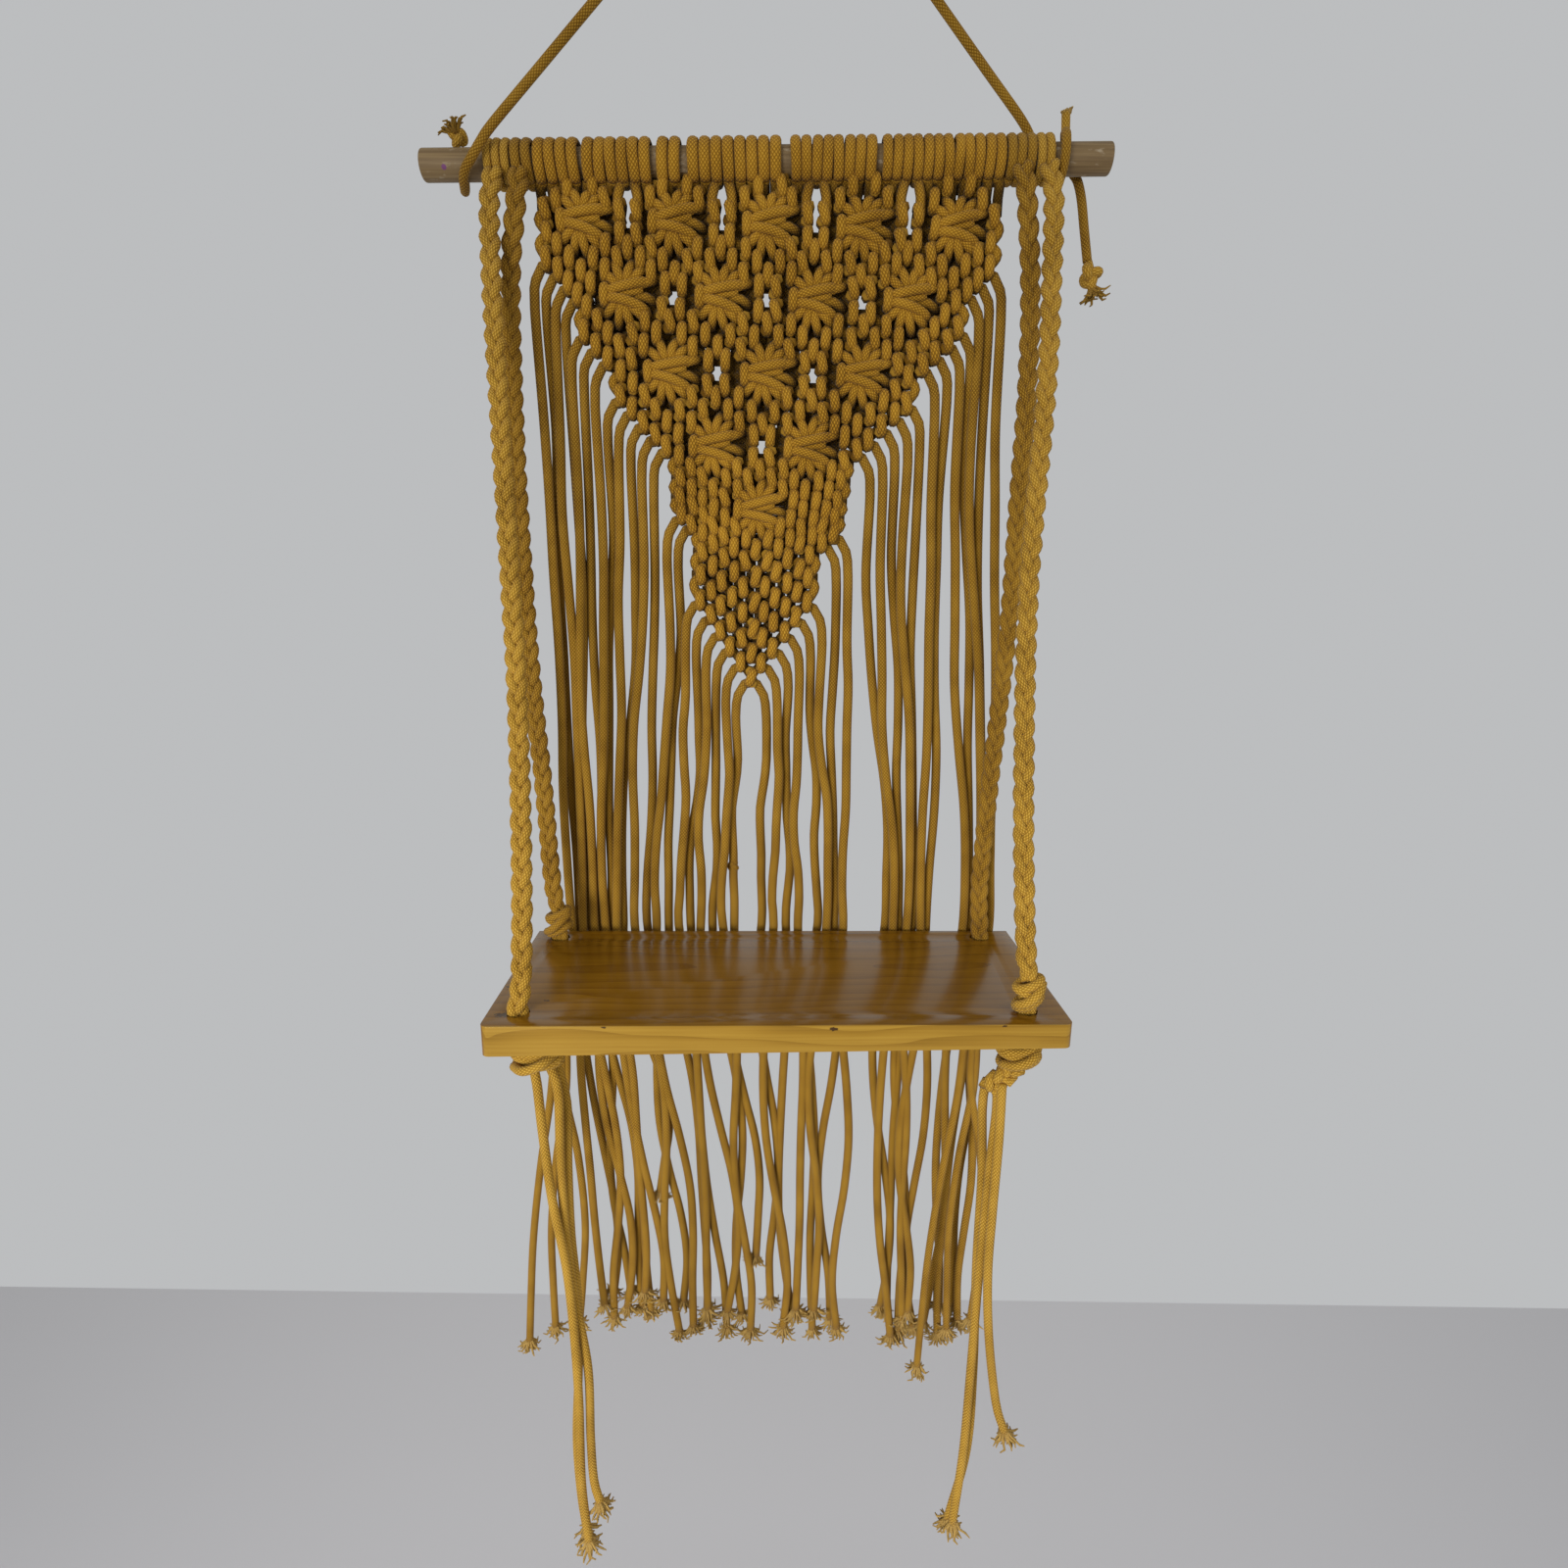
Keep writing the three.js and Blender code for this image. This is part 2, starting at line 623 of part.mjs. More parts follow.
const part = new THREE.Group();
part.add(shelf);

export default part;
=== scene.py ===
# %% [markdown]
# # A macrame wall shelf
# A wooden dowel hangs by a cord. Forty cotton strands start as turns round the dowel, are
# knotted into a triangle and run out into a long fringe. Four plaits carry a pine board.
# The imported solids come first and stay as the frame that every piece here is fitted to.

# %% Load the frame
import math
import random
import bmesh
import bpy
from mathutils import Matrix, Vector


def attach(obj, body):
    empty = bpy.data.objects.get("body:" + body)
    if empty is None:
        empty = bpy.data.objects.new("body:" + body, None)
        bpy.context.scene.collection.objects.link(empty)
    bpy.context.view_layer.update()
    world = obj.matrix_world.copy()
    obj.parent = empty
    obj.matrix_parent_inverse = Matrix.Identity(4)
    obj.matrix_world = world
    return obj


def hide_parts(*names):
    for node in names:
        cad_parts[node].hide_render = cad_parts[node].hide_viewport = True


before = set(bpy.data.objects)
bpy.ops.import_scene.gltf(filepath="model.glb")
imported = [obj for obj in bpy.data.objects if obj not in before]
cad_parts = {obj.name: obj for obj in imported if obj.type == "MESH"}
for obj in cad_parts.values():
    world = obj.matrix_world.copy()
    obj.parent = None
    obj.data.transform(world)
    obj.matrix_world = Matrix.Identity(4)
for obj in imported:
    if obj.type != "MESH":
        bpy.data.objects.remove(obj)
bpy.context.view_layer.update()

# %% [markdown]
# ## The camera
# The camera stands in front of the shelf, at a height between the dowel and the board, and
# looks a little down. Its place was found by fitting the dowel's ends and the board's
# corners, so it is given in millimetres from the dowel's middle, as every size below is.

# %% Millimetres from the dowel's middle, and the camera
MM = 0.001
HANG_POINT = Vector((8, 0, 200))
SENSOR = 36  # the camera's sensor is this wide
PICTURE = 1600  # the photograph is this many pixels wide


def at(point):
    """A place given from the dowel's middle in millimetres, in the frame's metres."""
    return (Vector(point) - HANG_POINT) * MM


def set_camera(place, yaw, pitch, roll, focal_pixels):
    """A camera turned by yaw, tilted down by pitch and rolled, all in degrees."""
    yaw, pitch, roll = (math.radians(angle) for angle in (yaw, pitch, roll))
    forward = Vector((math.sin(yaw) * math.cos(pitch), math.cos(yaw) * math.cos(pitch),
                      -math.sin(pitch)))
    level = Vector((math.cos(yaw), -math.sin(yaw), 0))
    above = level.cross(forward)
    right = math.cos(roll) * level + math.sin(roll) * above
    up = math.cos(roll) * above - math.sin(roll) * level
    data = bpy.data.cameras.new("front camera")
    data.sensor_width = SENSOR
    data.lens = SENSOR * focal_pixels / PICTURE
    camera = bpy.data.objects.new("front camera", data)
    turn = Matrix((right, up, -forward)).transposed().to_4x4()
    camera.matrix_world = Matrix.Translation(at(place)) @ turn
    bpy.context.scene.collection.objects.link(camera)
    bpy.context.scene.camera = camera
    return camera


camera = set_camera((19.7, -643.2, -273.7), yaw=-0.103, pitch=12.571, roll=0.724, focal_pixels=885)
print("camera at", [round(c, 3) for c in camera.location])

# %% [markdown]
# ## Cord as tubes
# Every knot, plait and strand is the same 6 mm cotton cord. A tube is laid along a line of
# points, with a UV map that runs along the cord and round it, so that the fine braid of
# the cord's sleeve can follow it wherever it bends.

# %% A smooth line through points, and a tube along it
CORD = 3.05  # the cord's radius


def smooth_line(points, step):
    """Points about a step apart on a soft curve through the given ones."""
    points = [Vector(p) for p in points]
    ends = [2 * points[0] - points[1]] + points + [2 * points[-1] - points[-2]]
    line = []
    for a, b, c, d in zip(ends, ends[1:], ends[2:], ends[3:]):
        pieces = max(1, round((c - b).length / step))
        for k in range(pieces):
            t = k / pieces
            line.append(0.5 * (2 * b + (c - a) * t + (2 * a - 5 * b + 4 * c - d) * t * t
                               + (3 * b - a - 3 * c + d) * t ** 3))
    return line + [points[-1]]


class Cords:
    """Tubes that are gathered and made into one piece."""

    def __init__(self):
        self.points, self.faces, self.maps = [], [], []

    def lay(self, line, radius=CORD, sides=8, wide=1.0, side=None, start=0.0):
        """A closed tube along a line, wide times as wide to its side as it is thick.

        radius may be a list, one for each point."""
        first = len(self.points)
        along = start
        for k, point in enumerate(line):
            ahead = line[min(k + 1, len(line) - 1)] - line[max(k - 1, 0)]
            ahead.normalize()
            if side is None:
                side = ahead.orthogonal().normalized()
                if abs(ahead.y) < 0.9:
                    side = Vector((0, 1, 0))
            side = (side - ahead * side.dot(ahead)).normalized()
            other = ahead.cross(side)
            size = radius[k] if isinstance(radius, list) else radius
            for s in range(sides):
                angle = 2 * math.pi * s / sides
                self.points.append(at(point + side * (size * wide * math.cos(angle))
                                      + other * (size * math.sin(angle))))
            if k:
                length = (point - line[k - 1]).length
                base = first + (k - 1) * sides
                for s in range(sides):
                    a, b = base + s, base + (s + 1) % sides
                    self.faces.append((a, b, b + sides, a + sides))
                    low, high = s / sides, (s + 1) / sides
                    self.maps += [(along * MM, low), (along * MM, high),
                                  ((along + length) * MM, high), ((along + length) * MM, low)]
                along += length
        last = first + (len(line) - 1) * sides
        self.faces.append(tuple(first + s for s in reversed(range(sides))))
        self.faces.append(tuple(last + s for s in range(sides)))
        self.maps += [(start * MM, 0.5)] * sides + [(along * MM, 0.5)] * sides

    def make(self, name, material, replaces=()):
        mesh = bpy.data.meshes.new(name)
        mesh.from_pydata(self.points, [], self.faces)
        layer = mesh.uv_layers.new(name="along the cord")
        layer.data.foreach_set("uv", [value for pair in self.maps for value in pair])
        mesh.polygons.foreach_set("use_smooth", [True] * len(mesh.polygons))
        mesh.materials.append(material)
        mesh.update()
        piece = bpy.data.objects.new(name, mesh)
        bpy.context.scene.collection.objects.link(piece)
        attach(piece, "root")
        if replaces:
            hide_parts(*replaces)
        print(name, "has", sum(len(f) - 2 for f in self.faces), "triangles")
        return piece


# %% [markdown]
# ## Cotton
# The cord has a braided sleeve: two sets of fine yarns cross it at a slant and leave rows
# of small dimples. The pattern is two sine waves over the UV map, multiplied, which push the
# surface in and paint shade into the colour between the yarns. Slow noise in Object
# coordinates makes one stretch of dyed cord paler than the next. The web's colours are
# painted lighter, as painted light on the knots' fronts, and darken from both faces towards
# the inside as painted shade, where little light comes in between cords.

# %% A small helper for node materials, and the cotton
def new_material(name):
    material = bpy.data.materials.new(name)
    material.use_nodes = True
    nodes = material.node_tree.nodes
    return material, nodes, material.node_tree.links, nodes["Principled BSDF"]


def put(nodes, kind, **values):
    node = nodes.new(kind)
    for key, value in values.items():
        if key in node.inputs:
            node.inputs[key].default_value = value
        else:
            setattr(node, key, value)
    return node


def math_node(nodes, links, operation, first, second=None):
    node = put(nodes, "ShaderNodeMath", operation=operation)
    for socket, value in zip(node.inputs, (first, second)):
        if hasattr(value, "links"):
            links.new(value, socket)
        elif value is not None:
            socket.default_value = value
    return node.outputs[0]


def ramp(nodes, links, factor, stops):
    node = put(nodes, "ShaderNodeValToRGB")
    elements = node.color_ramp.elements
    while len(elements) < len(stops):
        elements.new(0.5)
    for element, (position, color) in zip(elements, stops):
        element.position = position
        element.color = (*color, 1)
    links.new(factor, node.inputs["Fac"])
    return node.outputs["Color"]


YARN_LENGTH = 2.7
YARNS_ROUND = 9
# The yarn pattern's share of the colour is painted shade between the yarns.
YARN_SHADE_SHARE, SLOW_SHARE, FUZZ_SHARE = 0.52, 0.42, 0.34  # of each pattern in the colour
DEPTH_SPAN = 20  # millimetres of depth that the web's shading covers


def make_cotton(name, dark, mid, light, painted_shade_depths=()):
    """Braided cotton. The optional list gives depths behind the dowel's axis and how light
    the painted shade leaves the colour at each.
    """
    material, nodes, links, shader = new_material(name)
    uv = put(nodes, "ShaderNodeUVMap", uv_map="along the cord")
    split = put(nodes, "ShaderNodeSeparateXYZ")
    links.new(uv.outputs[0], split.inputs[0])
    along = math_node(nodes, links, "MULTIPLY", split.outputs["X"], math.pi / (YARN_LENGTH * MM))
    around = math_node(nodes, links, "MULTIPLY", split.outputs["Y"], math.pi * YARNS_ROUND)
    waves = []
    for operation in ("ADD", "SUBTRACT"):
        slant = math_node(nodes, links, operation, along, around)
        wave = math_node(nodes, links, "SINE", slant)
        waves.append(math_node(nodes, links, "ABSOLUTE", wave))
    yarn = math_node(nodes, links, "MULTIPLY", waves[0], waves[1])
    place = put(nodes, "ShaderNodeTexCoord")
    slow = put(nodes, "ShaderNodeTexNoise", Scale=38.0, Detail=2.0)
    fuzz = put(nodes, "ShaderNodeTexNoise", Scale=2600.0, Detail=3.0)
    for noise in (slow, fuzz):
        links.new(place.outputs["Object"], noise.inputs["Vector"])
    stretches = math_node(nodes, links, "MULTIPLY", slow.outputs["Fac"], SLOW_SHARE)
    hairs = math_node(nodes, links, "MULTIPLY", fuzz.outputs["Fac"], FUZZ_SHARE)
    # Painted shade: the colour darkens between the yarns.
    mixed = math_node(nodes, links, "MULTIPLY_ADD", yarn, YARN_SHADE_SHARE)
    links.new(stretches, mixed.node.inputs[2])
    mixed = math_node(nodes, links, "ADD", mixed, hairs)
    color = ramp(nodes, links, mixed, [(0.3, dark), (0.56, mid), (0.84, light)])
    # Painted shade: inside the web the colour darkens with depth between its faces.
    if painted_shade_depths:
        axes = put(nodes, "ShaderNodeSeparateXYZ")
        links.new(place.outputs["Object"], axes.inputs[0])
        deep = math_node(nodes, links, "MULTIPLY_ADD", axes.outputs["Y"], 1 / (DEPTH_SPAN * MM))
        deep.node.inputs[2].default_value = 0.5
        stops = [(0.5 + y / DEPTH_SPAN, (tone, tone, tone)) for y, tone in painted_shade_depths]
        shade = ramp(nodes, links, deep, stops)
        shaded = put(nodes, "ShaderNodeMix", data_type="RGBA", blend_type="MULTIPLY", Factor=1.0)
        links.new(color, shaded.inputs["A"])
        links.new(shade, shaded.inputs["B"])
        color = shaded.outputs["Result"]
    links.new(color, shader.inputs["Base Color"])
    height = math_node(nodes, links, "MULTIPLY_ADD", fuzz.outputs["Fac"], 0.5)
    links.new(yarn, height.node.inputs[2])
    bump = put(nodes, "ShaderNodeBump", Strength=0.75, Distance=0.0005)
    links.new(height, bump.inputs["Height"])
    links.new(bump.outputs["Normal"], shader.inputs["Normal"])
    shader.inputs["Roughness"].default_value = 0.92
    shader.inputs["Specular IOR Level"].default_value = 0.1
    shader.inputs["Sheen Weight"].default_value = 0.06
    shader.inputs["Sheen Roughness"].default_value = 0.5
    return material


# The first two are one cord: the second is painted paler, as painted light on the cords that stand
# in front.
COTTON = make_cotton("ochre cotton cord",
                     (0.115, 0.050, 0.004), (0.27, 0.135, 0.010), (0.41, 0.23, 0.03))
LIT_COTTON = make_cotton("ochre cotton cord with painted light",
                          (0.165, 0.082, 0.007), (0.385, 0.205, 0.020), (0.57, 0.34, 0.055))
# The web's copy is painted lighter than the plain cord, as painted light on the knots' fronts, and
# gets painted shade inside.
LIT_AND_SHADED_WEB_COTTON = make_cotton("ochre cotton cord in the web, with painted light and shade",
                         (0.14, 0.060, 0.004), (0.345, 0.168, 0.011), (0.53, 0.285, 0.030),
                         painted_shade_depths=[(-7, 1), (-4.2, 0.64), (-1.5, 0.24), (4, 0.24), (8.5, 1)])
FRAY = make_cotton("frayed cotton yarn",
                   (0.28, 0.15, 0.03), (0.54, 0.33, 0.075), (0.74, 0.50, 0.17))
print("cotton materials:", COTTON.name, "/", LIT_COTTON.name, "/", LIT_AND_SHADED_WEB_COTTON.name, "/", FRAY.name)

# %% [markdown]
# ## The hanging cord
# One limp cord, about 0.77 m long, is knotted on the dowel's left end, passes in front of
# the first plait's turns, rises to the point it hangs by and comes down behind the last
# turns. There it goes once round the dowel and ends in a tail with an overhand knot. Its
# line repeats the route of its solid, point for point.

# %% The hanging cord
RISE = 8.5 / 450  # the dowel climbs this much for each millimetre to the right
DOWEL_RADIUS = 9.5
TIE_RADIUS = 11  # the ties are given round a dowel of this radius
TIE_REACH = 26  # farther out than this the cord hangs free of the dowel
HANG_BEND = 13  # the radius of the cord's bend over what it hangs by


def on_dowel(point):
    x, y, z = point
    return Vector((x, y, z + x * RISE))


def on_tie(point):
    """A point of a tie, drawn in to the dowel and raised with it."""
    x, y, z = point
    out = math.hypot(y, z)
    scale = (out + DOWEL_RADIUS - TIE_RADIUS) / out if out < TIE_REACH else 1
    return on_dowel((x, y * scale, z * scale))


LEFT_TIE = [
    (-201.6, 10.5, 13.6), (-202, 14.4, 6.6), (-201.6, 15.7, -1.5), (-200.6, 12.8, -9),
    (-199, 6.5, -14.4), (-196.8, -1.5, -15.2), (-194.6, -9.6, -13.4), (-191.4, -15.6, -9.4),
    (-185.6, -19.6, -3.8), (-179, -20.8, 5), (-171, -20, 15.6),
]
RIGHT_TIE = [
    (172, 18, 30), (181, 20.6, 17), (187.6, 20.8, 4.6), (190.8, 17.6, -6.4),
    (192.4, 10, -14.2), (193.1, -0.6, -16.4), (193.4, -10, -12.6), (193.5, -15.2, -4),
    (193.6, -14.6, 5.6), (194.3, -9, 12.8), (196, 0.4, 15.8), (199, 9.6, 12.8),
    (202.6, 15, 6), (206, 16, -1), (210.2, 14.8, -8), (213.4, 13, -20),
    (216.8, 11.4, -38), (220, 9.8, -57.5),
]


def hanging_line():
    crown = []
    for degrees in (150, 120, 90, 60, 30):
        angle = math.radians(degrees)
        crown.append(HANG_POINT + Vector((math.cos(angle), 0, math.sin(angle) - 1)) * HANG_BEND)
    left = [on_tie(p) for p in LEFT_TIE]
    right = [on_tie(p) for p in RIGHT_TIE]
    shares = [k / 6 for k in range(1, 6)]
    rising = [left[-1].lerp(crown[0], share) for share in shares]
    falling = [crown[-1].lerp(right[0], share) for share in shares]
    return smooth_line(left + rising + crown + falling + right, 3)


hanging_path = hanging_line()
cords = Cords()
cords.lay(hanging_path, sides=12)
hanging_cord = cords.make("hanging_cord_braided", COTTON, replaces=["hanging_cord"])

# %% [markdown]
# ## Frayed ends and small knots
# A cut end of braided cord opens into a little brush of crinkled yarns. Each brush is a
# handful of thin four-sided tubes that spread from the end. A small overhand knot is the
# trefoil line that an overhand knot makes when its ends are pulled.

# %% A frayed end, and an overhand knot
dice = random.Random(7)


def anywhere():
    """A start along the cord's pattern, so that no two cords look the same."""
    return dice.uniform(0, 40)


def fray(cords, end, direction, reach, spread, yarns=26):
    """Crinkled yarns that leave the cord's end and bend outwards like a flower's petals."""
    direction = Vector(direction).normalized()
    across = direction.orthogonal().normalized()
    for k in range(yarns):
        turn = Matrix.Rotation(k * 2.4 + dice.uniform(-0.3, 0.3), 3, direction)
        out = turn @ across
        lean = spread * math.sqrt((k + 0.5) / yarns) * dice.uniform(0.8, 1.15)
        size = reach * dice.uniform(0.72, 1.1)
        curl = direction.cross(out) * dice.uniform(-1.9, 1.9)
        root = Vector(end) + out * (1.9 * lean / spread) - direction * 2
        line = [root, root + direction * (0.45 * size) + out * (0.35 * lean * size) + curl * 0.4,
                root + direction * (0.76 * size) + out * (0.8 * lean * size) - curl * 0.5,
                root + direction * ((0.95 - 0.25 * lean) * size) + out * (1.15 * lean * size) + curl]
        cords.lay(line, radius=[1.05, 1.0, 0.85, 0.4], sides=4)


def overhand(cords, middle, direction, size=4.2, radius=CORD):
    """A pulled overhand knot: a trefoil whose hole lies along the direction."""
    turn = Vector((0, 0, 1)).rotation_difference(Vector(direction)).to_matrix()
    line = []
    for k in range(45):
        a = 2 * math.pi * k / 44
        shape = Vector((math.sin(a) + 1.6 * math.sin(2 * a), math.cos(a) - 1.6 * math.cos(2 * a),
                        -1.5 * math.sin(3 * a)))
        line.append(Vector(middle) + turn @ (shape * size / 2))
    cords.lay(line, radius=radius, sides=9)


cords = Cords()
start = on_tie((-200.5, 3.5, 15))
overhand(cords, start + Vector((-0.5, 0.5, 3.6)), (0.1, -0.9, 0.4), size=3.2, radius=2.6)
fray(cords, start + Vector((-1.6, -2, 6.5)), (-0.5, -0.25, 1), reach=8.5, spread=1.1, yarns=30)
# The knotted end takes the cotton with painted light.
left_end = cords.make("left_end_knot_braided", LIT_COTTON, replaces=["left_end_knot"])
cords = Cords()
root = on_tie((220.3, 9.7, -57.9))
overhand(cords, root + Vector((2.2, -0.6, -8)), (0.2, -0.9, -0.4))
cords.lay([root, root + Vector((2, -0.6, -6))], sides=9)
cords.lay([root + Vector((2.2, -1, -10)), root + Vector((4.2, -1.6, -17.5))], sides=9)
fray(cords, root + Vector((4.4, -1.7, -18)), (0.3, -0.2, -1), reach=8.5, spread=1.0)
# This knotted end also takes the cotton with painted light.
right_end = cords.make("tail_end_knot_braided", LIT_COTTON, replaces=["tail_end_knot"])

# %% [markdown]
# ## The turns round the dowel
# Each of the forty strands starts as one turn round the dowel. They stand in six groups
# with bare wood between. A pulled turn is pressed flat, so its section is wider than it is
# thick, and it stands upright in front, as each is laid on its own beside the last. A
# helix would lean too much, so every turn is one closed ring that sways a little.

# %% The turns round the dowel
WRAP_GROUPS = [  # first turn's middle, number of turns, pitch
    (-145, 4, 7.2), (-113.4, 6, 7.35), (-65.2, 2, 7.6),
    (-45.6, 8, 7.65), (21.1, 8, 6.95), (80.4, 12, 6.6),
]
TURN_THICK = 4.9
TURN_WIDE = 7.4  # a pressed turn is no wider than this
TURN_RADIUS = DOWEL_RADIUS + 0.2 + TURN_THICK / 2
TURN_STEPS = 22


def turns(cords, first, count, pitch):
    """Separate turns packed side by side. In front each is upright and sways a little."""
    wide = min(TURN_WIDE, 0.985 * pitch) / TURN_THICK
    for n in range(count):
        middle = first + n * pitch + dice.uniform(-0.2, 0.2)
        lean = dice.uniform(-0.5, 0.9)
        line = []
        for k in range(TURN_STEPS + 1):
            angle = 2 * math.pi * k / TURN_STEPS - math.pi / 2 + 0.35
            reach = TURN_RADIUS + 0.6 * max(0, -math.sin(angle))
            x = middle - lean * math.sin(angle) * max(0, math.cos(angle) + 0.4)
            line.append(on_dowel((x, -reach * math.cos(angle), reach * math.sin(angle))))
        cords.lay(line, radius=TURN_THICK / 2, wide=wide, side=Vector((1, 0, 0)), sides=10,
                  start=anywhere())


cords = Cords()
for group in WRAP_GROUPS:
    turns(cords, *group)
print(sum(count for first, count, pitch in WRAP_GROUPS), "turns in", len(WRAP_GROUPS), "groups")

# %% [markdown]
# ## The knotted triangle
# Two neighbouring strands are knotted, then each goes on to its other neighbour, so the
# knots stand like bricks. From the front a knot is an upright loop of cord, and between
# knots the strands cross slantwise behind. Only those parts are modelled, each as a short
# tube with a few dozen faces: a loop in front, a loop behind, two slanting strands, and
# short level bars behind, which close the chinks. Between the stars long gaps stay open.

# %% The lattice that the knots stand on
STRANDS = 40
COLUMN = 7.75
TILT = 0.0105  # the rows of knots fall this much for each millimetre to the right
LAST_ROW = 40
ROWS = [  # row, height
    (-1.4, -11.5), (0, -23), (2, -38), (8, -82), (14, -129), (20, -177), (26, -218), (30, -246),
    (LAST_ROW, -337),
]
LEFT_RUNS = [(4, 5), (3, 11), (5, 16), (2, 27), (6, 35)]   # strands, first row: where they leave
RIGHT_RUNS = [(3, 5), (4, 10), (5, 16), (2, 29), (6, 35)]
STAR_ROWS = [(2, 4, 5), (8, 8, 4), (14, 12, 3), (20, 16, 2), (26, 20, 1)]  # row, first column, stars
STAR_PITCH = 8


def ease(t):
    t = min(max(t, 0), 1)
    return t * t * (3 - 2 * t)


def row_height(row):
    for (a, low), (b, high) in zip(ROWS, ROWS[1:]):
        if row <= b:
            break
    return low + (row - a) / (b - a) * (high - low)


def lattice(column, row):
    """Where a knot stands. Rows 12 to 20 are wider, and the lowest rows rise at their sides."""
    from_middle = column - STRANDS / 2
    down = max(row, 0) / LAST_ROW
    spread = 1 + 0.06 * ease((row - 5) / 7) * (1 - ease((row - 20) / 8))
    lift = 2.1 * abs(from_middle) * ease((row - 24) / 11)
    x = 4 - 11 * down ** 1.5 + from_middle * COLUMN * spread
    share = ease((row + 1.4) / 3.4)
    return Vector((x, 0, row_height(row) + lift + x * (RISE * (1 - share) - TILT * share)))


LEAVE_LEFT = [row + k for count, row in LEFT_RUNS for k in range(count)]
LEAVE_RIGHT = [row + k for count, row in RIGHT_RUNS for k in range(count)]


def last_row(strand):
    return LEAVE_LEFT[strand] if strand < STRANDS / 2 else LEAVE_RIGHT[STRANDS - 1 - strand]


stars = [(first + k * STAR_PITCH, row) for row, first, count in STAR_ROWS for k in range(count)]
gaps = {(first + k * STAR_PITCH + STAR_PITCH // 2, row)
        for row, first, count in STAR_ROWS for k in range(count - 1)}
star_gaps = set(gaps)
gaps |= {(column, 0) for column, row in gaps if row == STAR_ROWS[0][0]}


def star_near(column, row):
    return any(abs(c - column) + abs(r - row) <= 2 for c, r in stars)


knots = [(column, row) for row in range(LAST_ROW + 1) for column in range(1, STRANDS)
         if (column + row) % 2 == 0 and row <= min(last_row(column - 1), last_row(column))
         and not star_near(column, row) and (column, row) not in gaps]
knots += [(column + step, -1) for column, row in stars for step in (-1, 1) if row == STAR_ROWS[0][0]]
knot_set = set(knots)
print(len(knots), "small knots,", len(stars), "stars,", len(gaps), "long gaps")

# %% The knots: loops in front and behind, and the strands that cross between them
FAT = 3.5  # a loop is pressed a little wider than a free cord
LOOP = [(0.5, 3.0, 4.4), (0.3, -1.8, 5.0), (0, -5.0, 3.5), (0, -6.2, 0), (0, -5.0, -3.5),
        (-0.3, -1.8, -5.0), (-0.5, 3.0, -4.4)]


def loop(cords, middle, lean=0.0, stretch=1.0, front=1, proud=0.0, sides=8):
    """A knot's loop. front is 1 in front or -1 behind, and proud brings it farther out."""
    line = []
    for dx, dy, dz in LOOP:
        line.append(middle + Vector((dx + lean * dz, front * (dy - proud), dz * stretch)))
    cords.lay(line, radius=FAT, sides=sides, start=anywhere())


def slanting(cords, a, b, depth):
    """A strand between two knots. It bows a little towards the back at its ends."""
    a, b = a + Vector((0, 1.5, 0)), b + Vector((0, 1.5, 0))
    middle = (a + b) / 2 + Vector((0, depth, 0))
    cords.lay([a, middle, b], radius=FAT, sides=6, start=anywhere())


def shaken(place, most):
    """A place moved a little sideways and up or down, as knots tied by hand are."""
    return place + Vector((dice.uniform(-most, most), 0, dice.uniform(-most, most)))


def beside_gap(column, row):
    """Which way a knot leans towards a long gap: 1 or -1 where one is beside it, or 0."""
    for c, r in gaps:
        if abs(row - r) == 1 and abs(column - c) == 1:
            return c - column
    return 0


knot_places = {}
for column, row in knots:
    toward = beside_gap(column, row)
    place = shaken(lattice(column, row), 0.35 if toward else 0.7)
    knot_places[column, row] = place + Vector((2.3 * toward, 0, 0))
for (column, row), place in knot_places.items():
    side = -1 if column < STRANDS / 2 else 1
    lower = ease((row - 21) / 8)
    toward = beside_gap(column, row)
    lean = side * 0.13 * lower - 0.1 * (1 - lower) + dice.uniform(-0.22, 0.22)
    loop(cords, place, lean=lean, stretch=dice.uniform(0.94, 1.06) - 0.04 * lower,
         proud=dice.uniform(-0.5, 0.6))
    loop(cords, place, lean=-lean, front=-1, proud=-1.2, sides=6)
    bar = [place + Vector((reach * COLUMN, 4.6, 0)) for reach in
           (-0.95 if toward >= 0 else -0.2, 0.95 if toward <= 0 else 0.2)]
    edge = column <= 1 or column >= STRANDS - 1 or row >= min(last_row(column - 1), last_row(column))
    if not edge:
        cords.lay(bar, radius=FAT, sides=6)
        if lower:
            cords.lay([p + Vector((0, 3.2, -4.6)) for p in bar], radius=FAT, sides=6)
    for step in (-1, 1):
        below = (column + step, row + 1)
        if below in knot_set:
            slanting(cords, place, knot_places[below], -1.2 * step)
        elif (column, row + 2) in knot_set and not star_near(*below) and below not in gaps:
            outer = lattice(column + 0.62 * step, row + 1) + Vector((0, -3, 0))
            ends = [knot + Vector((0, -1, 0)) for knot in (place, knot_places[column, row + 2])]
            cords.lay(smooth_line([ends[0], outer, ends[1]], 2.5), radius=FAT, sides=8)
for column, row in gaps:
    for step in (-1, 1):
        beside = Vector((step * (COLUMN * 1.22), 4.4, 0))
        cords.lay([lattice(column, row + end) + beside for end in (-1, 1)], radius=FAT, sides=6)
        if (column, row) in star_gaps and (step > 0 or row > STAR_ROWS[0][0]):
            behind = Vector((0, 3.4, 2.4 if row == STAR_ROWS[0][0] else 0.8))
            cords.lay([lattice(column + reach, row + step) + behind for reach in (-1.3, 1.3)],
                      radius=FAT, sides=6)
